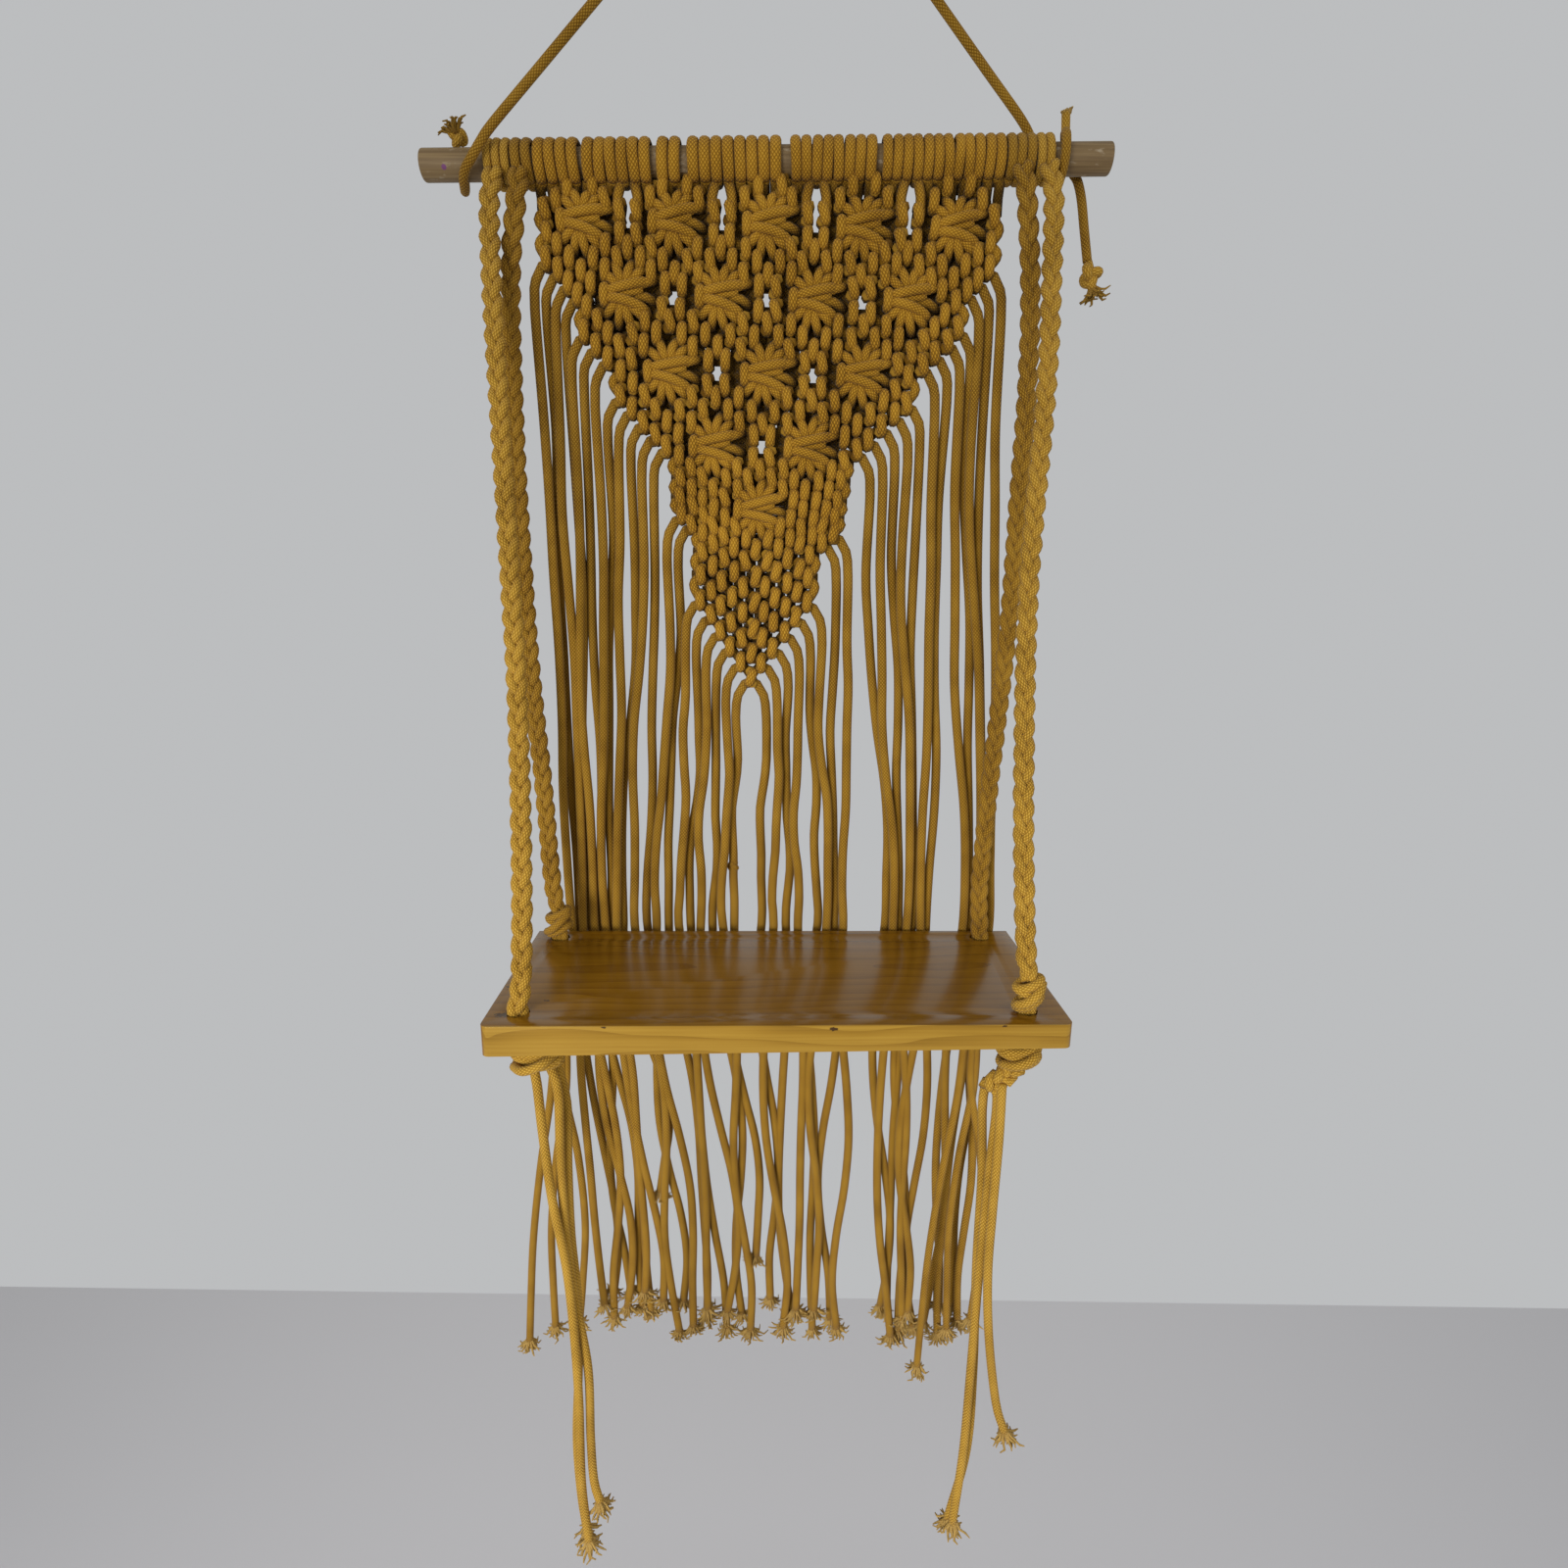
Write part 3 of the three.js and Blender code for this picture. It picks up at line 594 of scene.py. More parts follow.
for strand in range(STRANDS):
    gap_side = 0
    for column, row in gaps:
        if row == 0 and strand in (column - 1, column):
            gap_side = -1 if strand == column - 1 else 1
    top, low = lattice(strand + 0.5, -1.4), lattice(strand + 0.5, 1.1 if gap_side else 0.8)
    away = Vector((2.6 * gap_side, -3 if gap_side else 3.2, 0))
    cords.lay([top + Vector((0, -2, 1)), (top + low) / 2 + away, low + away], radius=FAT, sides=7)
print("web so far:", len(cords.faces), "faces")

# %% [markdown]
# ## The stars
# A star is one square knot tied over four strands. From the front it is an upright loop at
# its left and two long bars that slant apart to the right, with strands that gather into
# it from above and fan out below. A small dark gap stays under the fan. Its back has level
# strands that close it, and the same bars and fan again, laid behind them.

# %% The stars' bars and fans, from the star's middle in millimetres
STAR_BARS = [
    [(-13.5, -1, 1.2), (-9.5, -6.6, 2.0), (-3, -8.8, 3.4), (5, -8.4, 5.3), (12, -5.6, 7.2),
     (15.5, 0.5, 8.0)],
    [(-13.5, -1, -1.6), (-9.5, -6.4, -2.4), (-2, -8.6, -4.0), (5, -8.0, -6.0), (11.4, -5.0, -8.4),
     (14, 0.5, -10)],
]
STAR_FAN = [  # below the bars, then above, then what shows between and beyond the bars
    [(-3, -3.6, -4.5), (-9.0, -5.0, -8.6), (-14.5, 0.5, -13.5)],
    [(-1.6, -4.6, -5), (-4.0, -5.6, -11.9), (-6.0, 0.5, -19.5)],
    [(-0.4, -4.6, -6), (1.3, -5.8, -13.4), (4.0, 0.5, -20.5)],
    [(2.5, -4.6, -7), (7.9, -5.0, -11), (13.4, 0.5, -15.6)],
    [(-15, 0.5, 14.2), (-9.8, -5.0, 10), (-4.4, -4.2, 5)],
    [(-7.6, 0.5, 20.5), (-4.2, -5.6, 13.6), (-1.2, -4.4, 6)],
    [(5.6, 0.5, 21), (2.4, -5.2, 14), (1.4, -4.4, 6.5)],
    [(13.6, 0.5, 16.6), (8.8, -4.6, 12.4), (4.4, -4.2, 7.6)],
    [(7, -3.2, 4.2), (14.5, -4.2, 7.4), (21, 0, 9.6)],
    [(6, -2.0, -0.5), (13.5, -2.6, -1.2), (20.5, 1.5, -4.4)],
    [(-8, -4.6, 0.4), (2, -4.9, 0.9), (11.5, -3.6, 2.4)],
]
STAR_BACK = [[(-22, 4.4, z), (22, 4.4, z)] for z in (-12.8, -6.4, 0, 6.4, 12.8)]
STAR_BACK += [[(-9, 6.4, z), (9, 6.4, z)] for z in (-25.5, -19.2, 19.2, 25.5)]
STAR_BACK += [[(x, 8.5 - 0.7 * y, z) for x, y, z in fan] for fan in STAR_BARS + STAR_FAN[:8]]
FAN_TOP, BACK_TOP = 18, 17  # the first row's strands end here, under the dowel's turns
for column, row in stars:
    under_dowel = row == STAR_ROWS[0][0]
    middle = shaken(lattice(column, row), 0.8)
    loop(cords, middle + Vector((-13.7, -1.2, 0)), lean=dice.uniform(-0.05, 0.12))
    turn = Matrix.Rotation(dice.uniform(-0.05, 0.05), 3, "Y")
    for bar in STAR_BARS:
        cords.lay(smooth_line([middle + turn @ Vector(p) for p in bar], 4), radius=3.25, sides=8,
                  start=anywhere())
    for fan in STAR_FAN:
        if under_dowel:
            fan = [(x, y, min(z, FAN_TOP)) for x, y, z in fan]
        fan = [middle + turn @ shaken(Vector(p), 0.35) for p in fan]
        cords.lay(smooth_line(fan, 5), radius=3.2, sides=7, start=anywhere())
    for back in STAR_BACK:
        if under_dowel:
            back = [(x, y, min(z, BACK_TOP)) for x, y, z in back]
        cords.lay([middle + Vector(p) for p in back], radius=FAT, sides=6)
panel = cords.make("knotted_web", LIT_AND_SHADED_WEB_COTTON, replaces=["macrame_panel"])

# %% [markdown]
# ## The fringe
# Each strand leaves the triangle's edge in a small arch, hangs down past the back of the
# board and ends in a frayed tip. The strands gather in six loose locks, wander more below
# the board, and two of them are shorter than the rest. They lie in two layers so that they
# pass each other, and one has a small knot in it just above the board.

# %% The fringe's strands
# strands, x of the first and last at the board, the same at the lower end, lower end's height
LEFT_LOCKS = [(10, -149, -109, -135, -80, -893), (10, -99, -20, -72, 2, -908)]
RIGHT_LOCKS = [(5, 183, 162, 178, 152, -905), (7, 134, 101, 138, 112, -910),
               (4, 67, 47, 72, 46, -908), (4, 31, 2, 38, 15, -905)]
SHORT = {(-1, 9): -783, (-1, 19): -846}  # side and strand: where it ends
LAYERS = (6.3, 12.8)  # how far behind the dowel's axis the two layers hang
BOARD_TOP = -534
FRINGE_CORD = 3.45  # a strand opens up a little where nothing pulls it
SMALL_KNOT = -487


def lock_of(side, strand):
    """The lock that a strand belongs to, and its place in it from 0 to 1."""
    first = 0
    for lock in (LEFT_LOCKS if side < 0 else RIGHT_LOCKS):
        if strand < first + lock[0]:
            return lock, (strand - first) / (lock[0] - 1)
        first += lock[0]


def strand_line(side, strand):
    column = strand + 1 if side < 0 else STRANDS - 1 - strand
    row = (LEAVE_LEFT if side < 0 else LEAVE_RIGHT)[strand]
    (_, board_a, board_b, end_a, end_b, low), share = lock_of(side, strand)
    low = SHORT.get((side, strand), low + 14 * math.sin(2.4 * strand))
    board_x = board_a + (board_b - board_a) * share
    end_x = end_a + (end_b - end_a) * share
    depth = LAYERS[strand % 2]
    root = lattice(column, row)
    loose = root.x + side * 11
    line = [(root.x - side * 1.5, 1.5, root.z - 2), (root.x + side * 4.5, 0.5, root.z - 4.5),
            (loose - side * 1.5, 1.5, root.z - 13), (loose + side * 0.5, depth * 0.5, root.z - 30)]
    top = root.z - 45
    for k in range(1, 9):
        t = k / 8
        sway = 3.0 * math.sin(5 * t + 2.1 * strand) + 1.1 * math.sin(13 * t + strand)
        x = loose + (board_x - loose) * ease(t) + sway * math.sin(math.pi * t)
        line.append((x, depth, top + (BOARD_TOP - top) * t))
    for k in range(1, 9):
        t = k / 8
        wander = 8.5 * math.sin(4.6 * t + 1.7 * strand + side) * math.sin(math.pi * t ** 0.8)
        wander += 4.2 * math.sin(9.5 * t + 2.6 * strand) * t + side * 3 * math.sin(math.pi * t)
        x = board_x + (end_x - board_x) * ease(t) - wander
        line.append((x, depth, BOARD_TOP + (low - BOARD_TOP) * t))
    return smooth_line(line, 9)


cords = Cords()
tips = []
for side in (-1, 1):
    for strand in range(STRANDS // 2):
        line = strand_line(side, strand)
        cords.lay(line, radius=FRINGE_CORD, start=anywhere())
        tips.append((line[-1], line[-1] - line[-3]))
knotted = min(strand_line(-1, 19), key=lambda p: abs(p.z - SMALL_KNOT))
overhand(cords, knotted, (0.2, 0.9, 0.3), size=2.6, radius=1.9)
fringe = cords.make("fringe_strands", COTTON)

# %% Frayed tips of the fringe
cords = Cords()
for end, direction in tips:
    lean = Vector((dice.uniform(-0.35, 0.35), dice.uniform(-0.3, 0.1), 0))
    fray(cords, end, direction.normalized() + lean, reach=dice.uniform(8, 10),
         spread=dice.uniform(0.9, 1.25), yarns=34)
fringe_tips = cords.make("fringe_tips", FRAY)

# %% [markdown]
# ## The plaits
# Three cords cross in turn. Seen from the front each swings left and right once in a
# length of about six cord thicknesses, a third out of step with the next, and dips behind
# where another passes over. So one formula gives all three lines along the plait's route.
# Two plaits are knotted above the board and go through its hole as three loose cords. All
# four have a stopper knot under it, and three tails hang from each.

# %% Plaits from the dowel to the board
PLAIT_STEP = 2.6
TIGHT_OVER = 14  # a plait narrows over this length towards a knot or a hole
BOARD_MIDDLE, BOARD_BACK, BOARD_TURN = 12.75, -5, 2  # x, y and degrees
BOARD_WIDE, BOARD_DEEP = 365.5, 152
BOARD_THICK = {-1: 20, 1: 17}  # near the left holes and near the right ones
HOLE_IN = {-1: 19, 1: 24.5}  # from the board's left and right ends
HOLE_FRONT, HOLE_BACK = 19, 13  # from its front and back edges


def hole_place(side, back):
    """A hole's middle. side is -1 or 1, and back is -1 for the front holes or 1."""
    turn = math.radians(BOARD_TURN)
    across = side * (BOARD_WIDE / 2 - HOLE_IN[side])
    deep = -HOLE_BACK if back > 0 else HOLE_FRONT - BOARD_DEEP
    return (BOARD_MIDDLE + across * math.cos(turn) - deep * math.sin(turn),
            BOARD_BACK + across * math.sin(turn) + deep * math.cos(turn))


def plait(cords, route, length=39, swing=3.9, dip=2.0, tighten=0.0):
    """Three cords plaited along a route. tighten draws them together at its end."""
    spine = smooth_line(route, PLAIT_STEP)
    for strand in range(3):
        along = 0
        line = []
        for k, point in enumerate(spine):
            if k:
                along += (point - spine[k - 1]).length
            ahead = (spine[min(k + 1, len(spine) - 1)] - spine[max(k - 1, 0)]).normalized()
            across = Vector((1, 0, 0))
            across = (across - ahead * across.dot(ahead)).normalized()
            forward = across.cross(ahead)
            a = 2 * math.pi * (along / length + strand / 3)
            left = (len(spine) - 1 - k) * PLAIT_STEP
            close = 1 - tighten * ease(1 - left / TIGHT_OVER)
            line.append(point + across * (swing * math.sin(a) * close)
                        + forward * (dip * math.sin(2 * a)))
        cords.lay(line, start=strand * 11)


def lump(cords, middle, size, tall, lean=0.5, deep=0.85):
    """A pulled knot in three cords: tilted turns round the plait, with one across them."""
    for k, (up, tilt) in enumerate(((-0.34, lean), (0.04, -lean * 0.7), (0.38, lean * 0.9))):
        ring = []
        for step in range(25):
            a = 2 * math.pi * step / 24
            radius = size * (1 - 0.12 * abs(up)) - CORD
            x, y = radius * math.cos(a), radius * deep * math.sin(a)
            ring.append(Vector(middle) + Vector((x, y, up * tall + tilt * x)))
        cords.lay(ring, sides=9, start=13 * k)
    slant = [(-0.8 * size, -0.3 * size, -0.42 * tall), (-0.3 * size, -size * 0.9, -0.16 * tall),
             (0.35 * size, -size * 0.88, 0.2 * tall), (0.75 * size, -0.2 * size, 0.46 * tall)]
    cords.lay(smooth_line([Vector(middle) + Vector(p) for p in slant], 3), sides=9)


# %% Where the four plaits run
# hole: left -1 or right 1, front -1 or back 1. turns: the first turn's x, how many, their pitch.
# knot_above: its height over the board. knot_below: its middle, size, height, lean and depth.
# slack: a short loose plait under that knot. tails: their routes, or only where they end.
BRAIDS = {
    "front_left_braid": dict(
        hole=(-1, -1), turns=(-178, 3, 5.7), knot_above=None,
        route=[(-173, -14, -9), (-176, -17, -28), (-173, -31, -89), (-165, -54, -183),
               (-157, -77, -275), (-152, -92, -337), (-147, -116, -428), (-145, -136, -508)],
        knot_below=((-135, -144, -563.5), 17.5, 11.5, 0.09, 0.55), slack=[],
        tails=[[(-137, -150, -566), (-135, -150, -580), (-133, -150, -615), (-129, -150, -665),
                (-122, -150, -716), (-119, -150, -770), (-118, -150, -826), (-119, -149, -896),
                (-116, -148, -950)],
               [(-128, -146, -568), (-123, -146, -588), (-124, -145, -642), (-123, -144, -693),
                (-119, -144, -746), (-112, -145, -801), (-112, -146, -859), (-111, -146, -897),
                (-107, -146, -917)],
               [(-126, -138, -570), (-120, -138, -601), (-121, -139, -648), (-121, -139, -700),
                (-119, -137, -754), (-121, -136, -810), (-124, -138, -868), (-123, -138, -916),
                (-120, -138, -952)]]),
    "back_left_braid": dict(
        hole=(-1, 1), turns=(-159.6, 2, 6.6), knot_above=10.5,
        route=[(-157, -14, -9), (-160, -14, -28), (-167, -11, -80), (-169, -11, -176),
               (-167, -14, -275), (-164, -17, -344), (-159, -19, -416), (-155, -22, -490)],
        knot_below=None, slack=[],
        tails=[(-192, -26, -900), (-172, -17, -894), (-149, -24, -880)]),
    "back_right_braid": dict(
        hole=(1, 1), turns=(160.2, 3, 6.2), knot_above=None,
        route=[(167, -14, -9), (171, -13, -28), (178, -10, -80), (180, -10, -139),
               (179, -11, -203), (178, -11, -296), (172, -12, -410), (169, -12, -490)],
        knot_below=None, slack=[],
        tails=[(140, -19, -928), (166, -8, -900), (185, -13, -885)]),
    "front_right_braid": dict(
        hole=(1, -1), turns=(179, 2, 5.8), knot_above=10,
        route=[(184, -14, -9), (187, -17, -28), (186, -30, -80), (184, -43, -146),
               (174, -72, -270), (172, -101, -392), (174, -122, -484)],
        knot_below=((172, -135, -562), 15, 13, 0.2, 0.8),
        slack=[(173, -136, -566), (166, -138, -575), (159, -138, -580), (154, -136, -588)],
        tails=[[(153, -132, -585), (152, -132, -604), (155, -131, -655), (156, -130, -728),
                (159, -130, -814), (158, -131, -883), (147, -132, -946)],
               [(159, -137, -585), (160, -137, -603), (158, -138, -645), (156, -138, -724),
                (155, -138, -807), (154, -137, -878), (150, -136, -944)],
               [(161, -142, -580), (161, -144, -620), (160, -145, -672), (160, -145, -720),
                (165, -142, -775), (174, -140, -832), (182, -139, -858)]]),
}
STUB = [(203, 20.6, 3), (202.2, 20, 16), (200.6, 18.5, 36)]
print("plaits:", ", ".join(BRAIDS))

# %% The plaits, their knots and their tails
BOWS = ((0.12, -0.6), (0.3, -1), (0.5, 0.4), (0.7, 1), (0.88, 0.5), (1, 0))  # along, sideways


def to_the_board(cords, braid, x, y, under):
    """The plait from the dowel to its hole, with the knot above the board if it has one."""
    route = [on_tie(p) for p in braid["route"][:2]] + [Vector(p) for p in braid["route"][2:]]
    if braid["knot_above"]:
        knot = Vector((x, y - 1, BOARD_TOP + braid["knot_above"] + 3))
        plait(cords, route + [knot + Vector((0, 0, 8))], tighten=0.5)
        lump(cords, knot, 10.6, 17)
        for k in (-1, 0, 1):
            loose = [knot + Vector((3 * k, 0, -2)), Vector((x + 3.4 * k, y - 1, BOARD_TOP + 4)),
                     Vector((x + 2.8 * k, y, under - 3))]
            cords.lay(smooth_line(loose, 4), radius=CORD * 0.96)
    else:
        ends = [Vector((x, y, BOARD_TOP + 3)), Vector((x, y, under - 4))]
        plait(cords, route + ends, tighten=0.35)


def tail_route(start, end, k):
    """A tail that bows out and back on its way to where it ends."""
    root = start + Vector(((k - 1) * 4.8, 0, 3))
    bow = math.copysign(5, end.x - start.x) * (0.6 + 0.4 * k)
    return [root] + [root.lerp(end, t) + Vector((bow * share, 0, 0)) for t, share in BOWS]


braid_tips = Cords()
for name, braid in BRAIDS.items():
    cords = Cords()
    turns(cords, *braid["turns"])
    x, y = hole_place(*braid["hole"])
    under = BOARD_TOP - BOARD_THICK[braid["hole"][0]]
    to_the_board(cords, braid, x, y, under)
    if braid["knot_below"]:
        middle, size, tall, lean, deep = braid["knot_below"]
        lump(cords, middle, size, tall, lean=lean, deep=deep)
    else:
        lump(cords, Vector((x, y, under - 7)), 11, 13)
    if braid["slack"]:
        plait(cords, braid["slack"], length=21, swing=4.6, dip=3.2)
    ends = []
    for k, end in enumerate(braid["tails"]):
        whole = isinstance(end, list)
        points = end if whole else tail_route(Vector((x, y, under - 11)), Vector(end), k)
        line = smooth_line(points, 7)
        cords.lay(line, sides=9, start=anywhere())
        ends.append((line[-1], line[-1] - line[-3]))
    if name == "front_right_braid":  # the cut end of a cord that stands up behind the dowel
        stub = [on_dowel(p) for p in STUB]
        cords.lay(smooth_line(stub, 4), radius=2.9, sides=9)
        ends.append((stub[-1], Vector((-0.3, -0.2, 1))))
    # Plaits at the front holes take the cotton with painted light, the others the plain cotton.
    in_front = braid["hole"][1] < 0
    cords.make(name + "_plaited", LIT_COTTON if in_front else COTTON, replaces=[name])
    for end, direction in ends:
        hangs = direction.z < 0
        fray(braid_tips, end, direction, reach=10 if hangs else 3.6,
             spread=0.95 if hangs else 0.5, yarns=32)
braid_tips.make("tail_tips", FRAY)

# %% [markdown]
# ## The board
# The board is one pine plank with a clear gloss varnish. Its solid is copied, its loose
# triangles are merged, and a small bevel softens the sawn edges so that they catch light.
# The grain is a set of growth rings: distances from a line under the plank, bent by noise
# that is stretched along it, so that the top shows long figures and the ends show rings.
# The top is painted darker and the front edge paler, as painted shade and painted light. A
# few dark marks stand for a crack beside a hole, dots and chipped edges, and the varnish
# gives its gloss a yellow tint.

# %% The board from a copy of its solid
def only(piece):
    bpy.ops.object.select_all(action="DESELECT")
    piece.select_set(True)
    bpy.context.view_layer.objects.active = piece


def copy_of(node, name, material, bevel):
    """A copy of a solid with its triangles merged into faces and its edges softened."""
    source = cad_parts[node]
    mesh = source.data.copy()
    mesh.transform(source.matrix_world)
    piece = bpy.data.objects.new(name, mesh)
    bpy.context.scene.collection.objects.link(piece)
    work = bmesh.new()
    work.from_mesh(mesh)
    bmesh.ops.remove_doubles(work, verts=work.verts, dist=1e-5)
    bmesh.ops.dissolve_limit(work, angle_limit=math.radians(1), verts=work.verts, edges=work.edges)
    work.to_mesh(mesh)
    work.free()
    only(piece)
    soft = piece.modifiers.new("soft edges", "BEVEL")
    soft.width = bevel * MM
    soft.segments = 3
    soft.limit_method = "ANGLE"
    soft.angle_limit = math.radians(40)
    bpy.ops.object.modifier_apply(modifier=soft.name)
    bpy.ops.object.shade_smooth_by_angle(angle=math.radians(35))
    mesh.materials.clear()
    mesh.materials.append(material)
    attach(piece, "root")
    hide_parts(node)
    print(name, "has", len(mesh.polygons), "faces")
    return piece


def object_place(nodes, links, location, turn_z=0.0, scale=(1, 1, 1)):
    """Object coordinates, moved, turned and scaled to suit a piece."""
    place = put(nodes, "ShaderNodeTexCoord")
    move = put(nodes, "ShaderNodeMapping", vector_type="TEXTURE")
    move.inputs["Location"].default_value = at(location)
    move.inputs["Rotation"].default_value = (0, 0, math.radians(turn_z))
    move.inputs["Scale"].default_value = scale
    links.new(place.outputs["Object"], move.inputs["Vector"])
    return move.outputs["Vector"]


BOARD_MARKS = [  # middle, reach: a crack beside the front left hole, dots and chipped edges
    ((-154.3, -147.8, -534), 2.6), ((-132.6, -127.7, -534), 0.9), ((51.4, -155.6, -536.3), 1.2),
    ((-89.3, -160.5, -534.7), 0.7), ((157, -151.9, -534.7), 0.7), ((-162.6, -108.7, -534), 1.3),
]
MARK_STRETCH = 2.2


def dark_marks(nodes, links, marks):
    """1 inside the marks, which are longer along the plank than across, and 0 elsewhere."""
    local = object_place(nodes, links, (0, 0, 0), scale=(MARK_STRETCH, 1, 1))
    ragged = put(nodes, "ShaderNodeTexNoise", Scale=1400.0)
    links.new(local, ragged.inputs["Vector"])
    marked = None
    for (x, y, z), reach in marks:
        spot = put(nodes, "ShaderNodeVectorMath", operation="DISTANCE")
        links.new(local, spot.inputs[0])
        spot.inputs[1].default_value = Vector((x / MARK_STRETCH, y, z)) * MM
        edge = math_node(nodes, links, "MULTIPLY", ragged.outputs["Fac"], 2 * reach * MM)
        inside = math_node(nodes, links, "LESS_THAN", spot.outputs["Value"], edge)
        marked = math_node(nodes, links, "MAXIMUM", marked, inside) if marked else inside
    return marked


RING_WIDTH = 6.2
RING_MIDDLE = (12, -50)  # y and z of the line round which the rings grew, from the board's middle
RING_BEND = 20
FRONT_EDGE = -75.2  # what lies in front of this is the front edge


def make_pine():
    material, nodes, links, shader = new_material("varnished pine")
    local = object_place(nodes, links, (10, -81, -544), turn_z=BOARD_TURN)
    stretched = put(nodes, "ShaderNodeMapping", Scale=(5, 26, 40))
    links.new(local, stretched.inputs["Vector"])
    bend = put(nodes, "ShaderNodeTexNoise", Scale=1.0, Detail=2.0)
    links.new(stretched.outputs[0], bend.inputs["Vector"])
    axes = put(nodes, "ShaderNodeSeparateXYZ")
    links.new(local, axes.inputs[0])
    across = math_node(nodes, links, "SUBTRACT", axes.outputs["Y"], RING_MIDDLE[0] * MM)
    height = math_node(nodes, links, "SUBTRACT", axes.outputs["Z"], RING_MIDDLE[1] * MM)
    squares = [math_node(nodes, links, "MULTIPLY", side, side) for side in (across, height)]
    distance = math_node(nodes, links, "SQRT", math_node(nodes, links, "ADD", *squares))
    bent = math_node(nodes, links, "MULTIPLY", bend.outputs["Fac"], RING_BEND * MM)
    distance = math_node(nodes, links, "ADD", distance, bent)
    count = math_node(nodes, links, "MULTIPLY", distance, 1 / (RING_WIDTH * MM))
    rings = math_node(nodes, links, "FRACT", count)
    fibre_place = put(nodes, "ShaderNodeMapping", Scale=(12, 620, 620))
    links.new(local, fibre_place.inputs["Vector"])
    fibre = put(nodes, "ShaderNodeTexNoise", Scale=1.0, Detail=4.0)
    links.new(fibre_place.outputs[0], fibre.inputs["Vector"])
    cloud = put(nodes, "ShaderNodeTexNoise", Scale=11.0, Detail=2.0)
    links.new(local, cloud.inputs["Vector"])
    late = math_node(nodes, links, "POWER", rings, 3.0)
    tone = math_node(nodes, links, "MULTIPLY_ADD", late, 0.24)
    links.new(math_node(nodes, links, "MULTIPLY", fibre.outputs["Fac"], 0.36), tone.node.inputs[2])
    clouds = math_node(nodes, links, "MULTIPLY", cloud.outputs["Fac"], 0.3)
    tone = math_node(nodes, links, "ADD", tone, clouds)
    # Painted light and shade: the front edge takes paler colours than the top.
    top = ramp(nodes, links, tone, [(0.2, (0.27, 0.125, 0.006)), (0.45, (0.19, 0.082, 0.003)),
                                    (0.8, (0.11, 0.040, 0.002))])
    lit_front = ramp(nodes, links, tone, [(0.2, (0.37, 0.215, 0.030)), (0.45, (0.28, 0.15, 0.017)),
                                     (0.8, (0.15, 0.07, 0.006))])
    front = math_node(nodes, links, "LESS_THAN", axes.outputs["Y"], FRONT_EDGE * MM)
    faced = put(nodes, "ShaderNodeMix", data_type="RGBA")
    links.new(front, faced.inputs["Factor"])
    links.new(top, faced.inputs["A"])
    links.new(lit_front, faced.inputs["B"])
    marked = put(nodes, "ShaderNodeMix", data_type="RGBA")
    links.new(dark_marks(nodes, links, BOARD_MARKS), marked.inputs["Factor"])
    links.new(faced.outputs["Result"], marked.inputs["A"])
    marked.inputs["B"].default_value = (0.05, 0.022, 0.008, 1)
    links.new(marked.outputs["Result"], shader.inputs["Base Color"])
    bump = put(nodes, "ShaderNodeBump", Strength=0.12, Distance=0.0006)
    links.new(tone, bump.inputs["Height"])
    links.new(bump.outputs["Normal"], shader.inputs["Normal"])
    shader.inputs["Roughness"].default_value = 0.23
    shader.inputs["Specular IOR Level"].default_value = 0.6
    shader.inputs["Specular Tint"].default_value = (1.0, 0.74, 0.34, 1)
    shader.inputs["Coat Weight"].default_value = 0.12
    shader.inputs["Coat Roughness"].default_value = 0.13
    return material


PINE = make_pine()
board = copy_of("shelf_board", "varnished_board", PINE, bevel=1.4)

# %% [markdown]
# ## The dowel
# The dowel is raw pale wood with fine fibres along it, a few paler scuffs and one tiny
# stain near its left end. It is the solid again, with its two ends slightly rounded.

# %% The dowel
STAIN, STAIN_REACH = (-207, -8.4, -8.4), 1.6


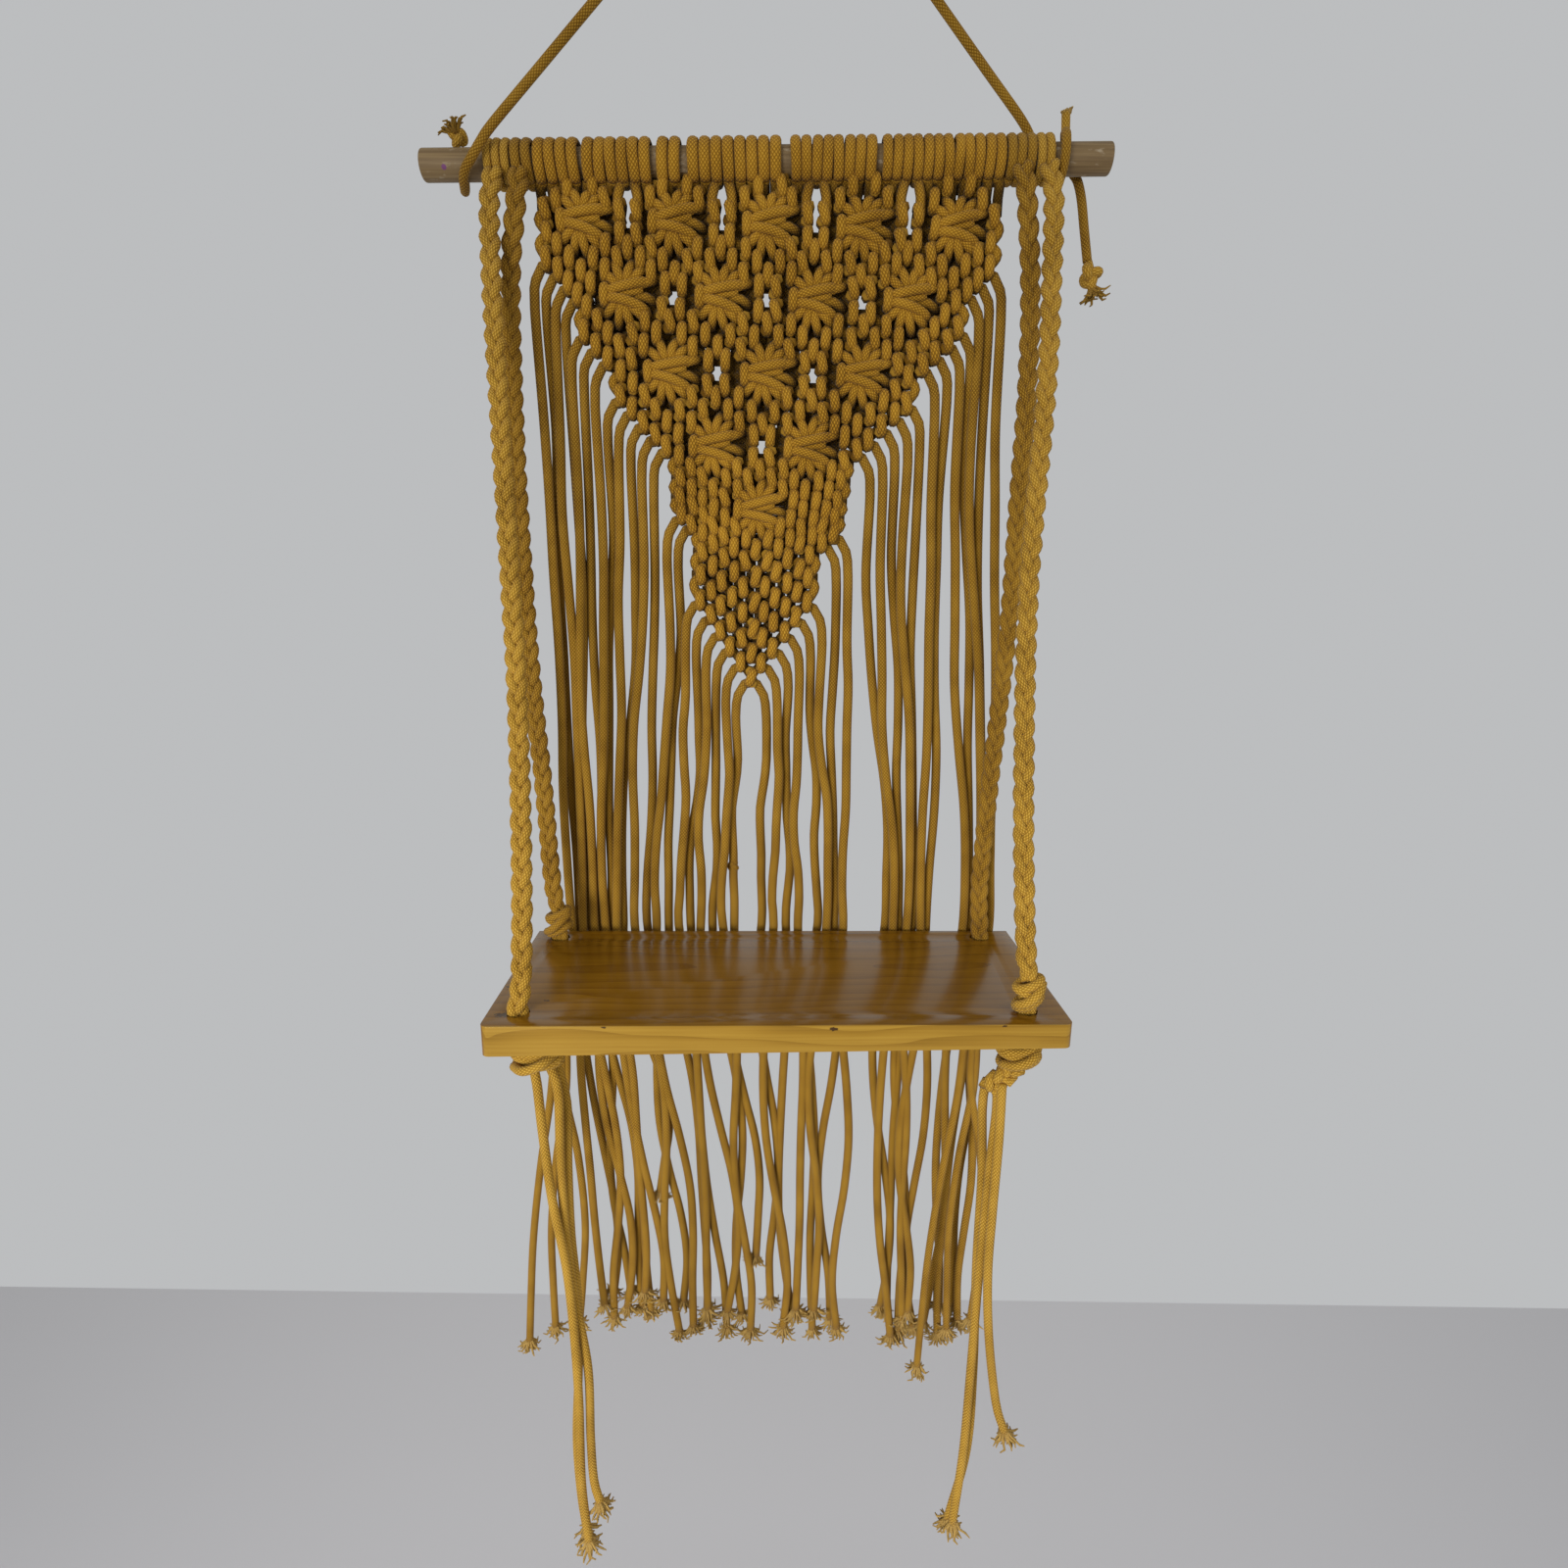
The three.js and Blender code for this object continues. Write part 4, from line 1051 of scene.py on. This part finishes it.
def make_raw_wood():
    material, nodes, links, shader = new_material("raw dowel wood")
    local = object_place(nodes, links, (0, 0, 0))
    fibre_place = put(nodes, "ShaderNodeMapping", Scale=(14, 520, 520))
    links.new(local, fibre_place.inputs["Vector"])
    fibre = put(nodes, "ShaderNodeTexNoise", Scale=1.0, Detail=5.0)
    links.new(fibre_place.outputs[0], fibre.inputs["Vector"])
    scuff_place = put(nodes, "ShaderNodeMapping", Scale=(70, 150, 150))
    links.new(local, scuff_place.inputs["Vector"])
    scuff = put(nodes, "ShaderNodeTexNoise", Scale=1.0, Detail=3.0, Roughness=0.7)
    links.new(scuff_place.outputs[0], scuff.inputs["Vector"])
    wood = ramp(nodes, links, fibre.outputs["Fac"], [
        (0.3, (0.13, 0.075, 0.024)), (0.55, (0.205, 0.13, 0.050)), (0.75, (0.27, 0.185, 0.080))])
    pale = ramp(nodes, links, scuff.outputs["Fac"], [(0.58, (0, 0, 0)), (0.68, (1, 1, 1))])
    worn = put(nodes, "ShaderNodeMix", data_type="RGBA")
    links.new(pale, worn.inputs["Factor"])
    links.new(wood, worn.inputs["A"])
    worn.inputs["B"].default_value = (0.34, 0.26, 0.16, 1)
    spot = put(nodes, "ShaderNodeVectorMath", operation="DISTANCE")
    links.new(local, spot.inputs[0])
    spot.inputs[1].default_value = Vector(STAIN) * MM
    near = math_node(nodes, links, "LESS_THAN", spot.outputs["Value"], STAIN_REACH * MM)
    stained = put(nodes, "ShaderNodeMix", data_type="RGBA")
    links.new(near, stained.inputs["Factor"])
    links.new(worn.outputs["Result"], stained.inputs["A"])
    stained.inputs["B"].default_value = (0.16, 0.04, 0.14, 1)
    links.new(stained.outputs["Result"], shader.inputs["Base Color"])
    bump = put(nodes, "ShaderNodeBump", Strength=0.3, Distance=0.0004)
    links.new(fibre.outputs["Fac"], bump.inputs["Height"])
    links.new(bump.outputs["Normal"], shader.inputs["Normal"])
    shader.inputs["Roughness"].default_value = 0.62
    return material


RAW_WOOD = make_raw_wood()
dowel = copy_of("dowel", "raw_dowel", RAW_WOOD, bevel=1.2)

# %% [markdown]
# ## Floor and light
# A plain pale floor lies under the tails and ends a little behind them, where a room's
# wall would start, and the pale sky stands in for the wall. The sky gives most of the
# light. Two soft lamps stand low in front, because in the photograph the board and the
# tails are brighter than the dowel. Their spread is kept narrow, off the floor.

# %% Floor, sky and lamps
FLOOR_SIZE, FLOOR_BACK, FLOOR_HEIGHT = 8, 0.29, -1.35  # metres
LAMP_SPREAD = 54  # degrees


def make_floor():
    bpy.ops.object.select_all(action="DESELECT")
    bpy.ops.mesh.primitive_plane_add(size=FLOOR_SIZE,
                                     location=(0, FLOOR_BACK - FLOOR_SIZE / 2, FLOOR_HEIGHT))
    floor = bpy.context.object
    floor.name = "floor"
    material, nodes, links, shader = new_material("pale floor")
    shader.inputs["Base Color"].default_value = (0.62, 0.61, 0.62, 1)
    shader.inputs["Roughness"].default_value = 0.9
    floor.data.materials.append(material)


def lamp(name, place, look_at, size, watts):
    data = bpy.data.lights.new(name, "AREA")
    data.size = size
    data.energy = watts
    data.spread = math.radians(LAMP_SPREAD)
    light = bpy.data.objects.new(name, data)
    light.location = place
    light.rotation_euler = (Vector(look_at) - Vector(place)).to_track_quat("-Z", "Y").to_euler()
    bpy.context.scene.collection.objects.link(light)


make_floor()
world = bpy.data.worlds.new("pale room")
world.use_nodes = True
sky = world.node_tree.nodes["Background"]
sky.inputs["Color"].default_value = (0.60, 0.61, 0.62, 1)
sky.inputs["Strength"].default_value = 0.84
bpy.context.scene.world = world
lamp("key", (-1.1, -2.2, -0.6), (0, 0, -1.0), 0.9, 5.6)
lamp("fill", (1.9, -1.7, -0.4), (0, 0, -0.95), 1.0, 1.6)
bpy.context.scene.view_settings.view_transform = "Standard"
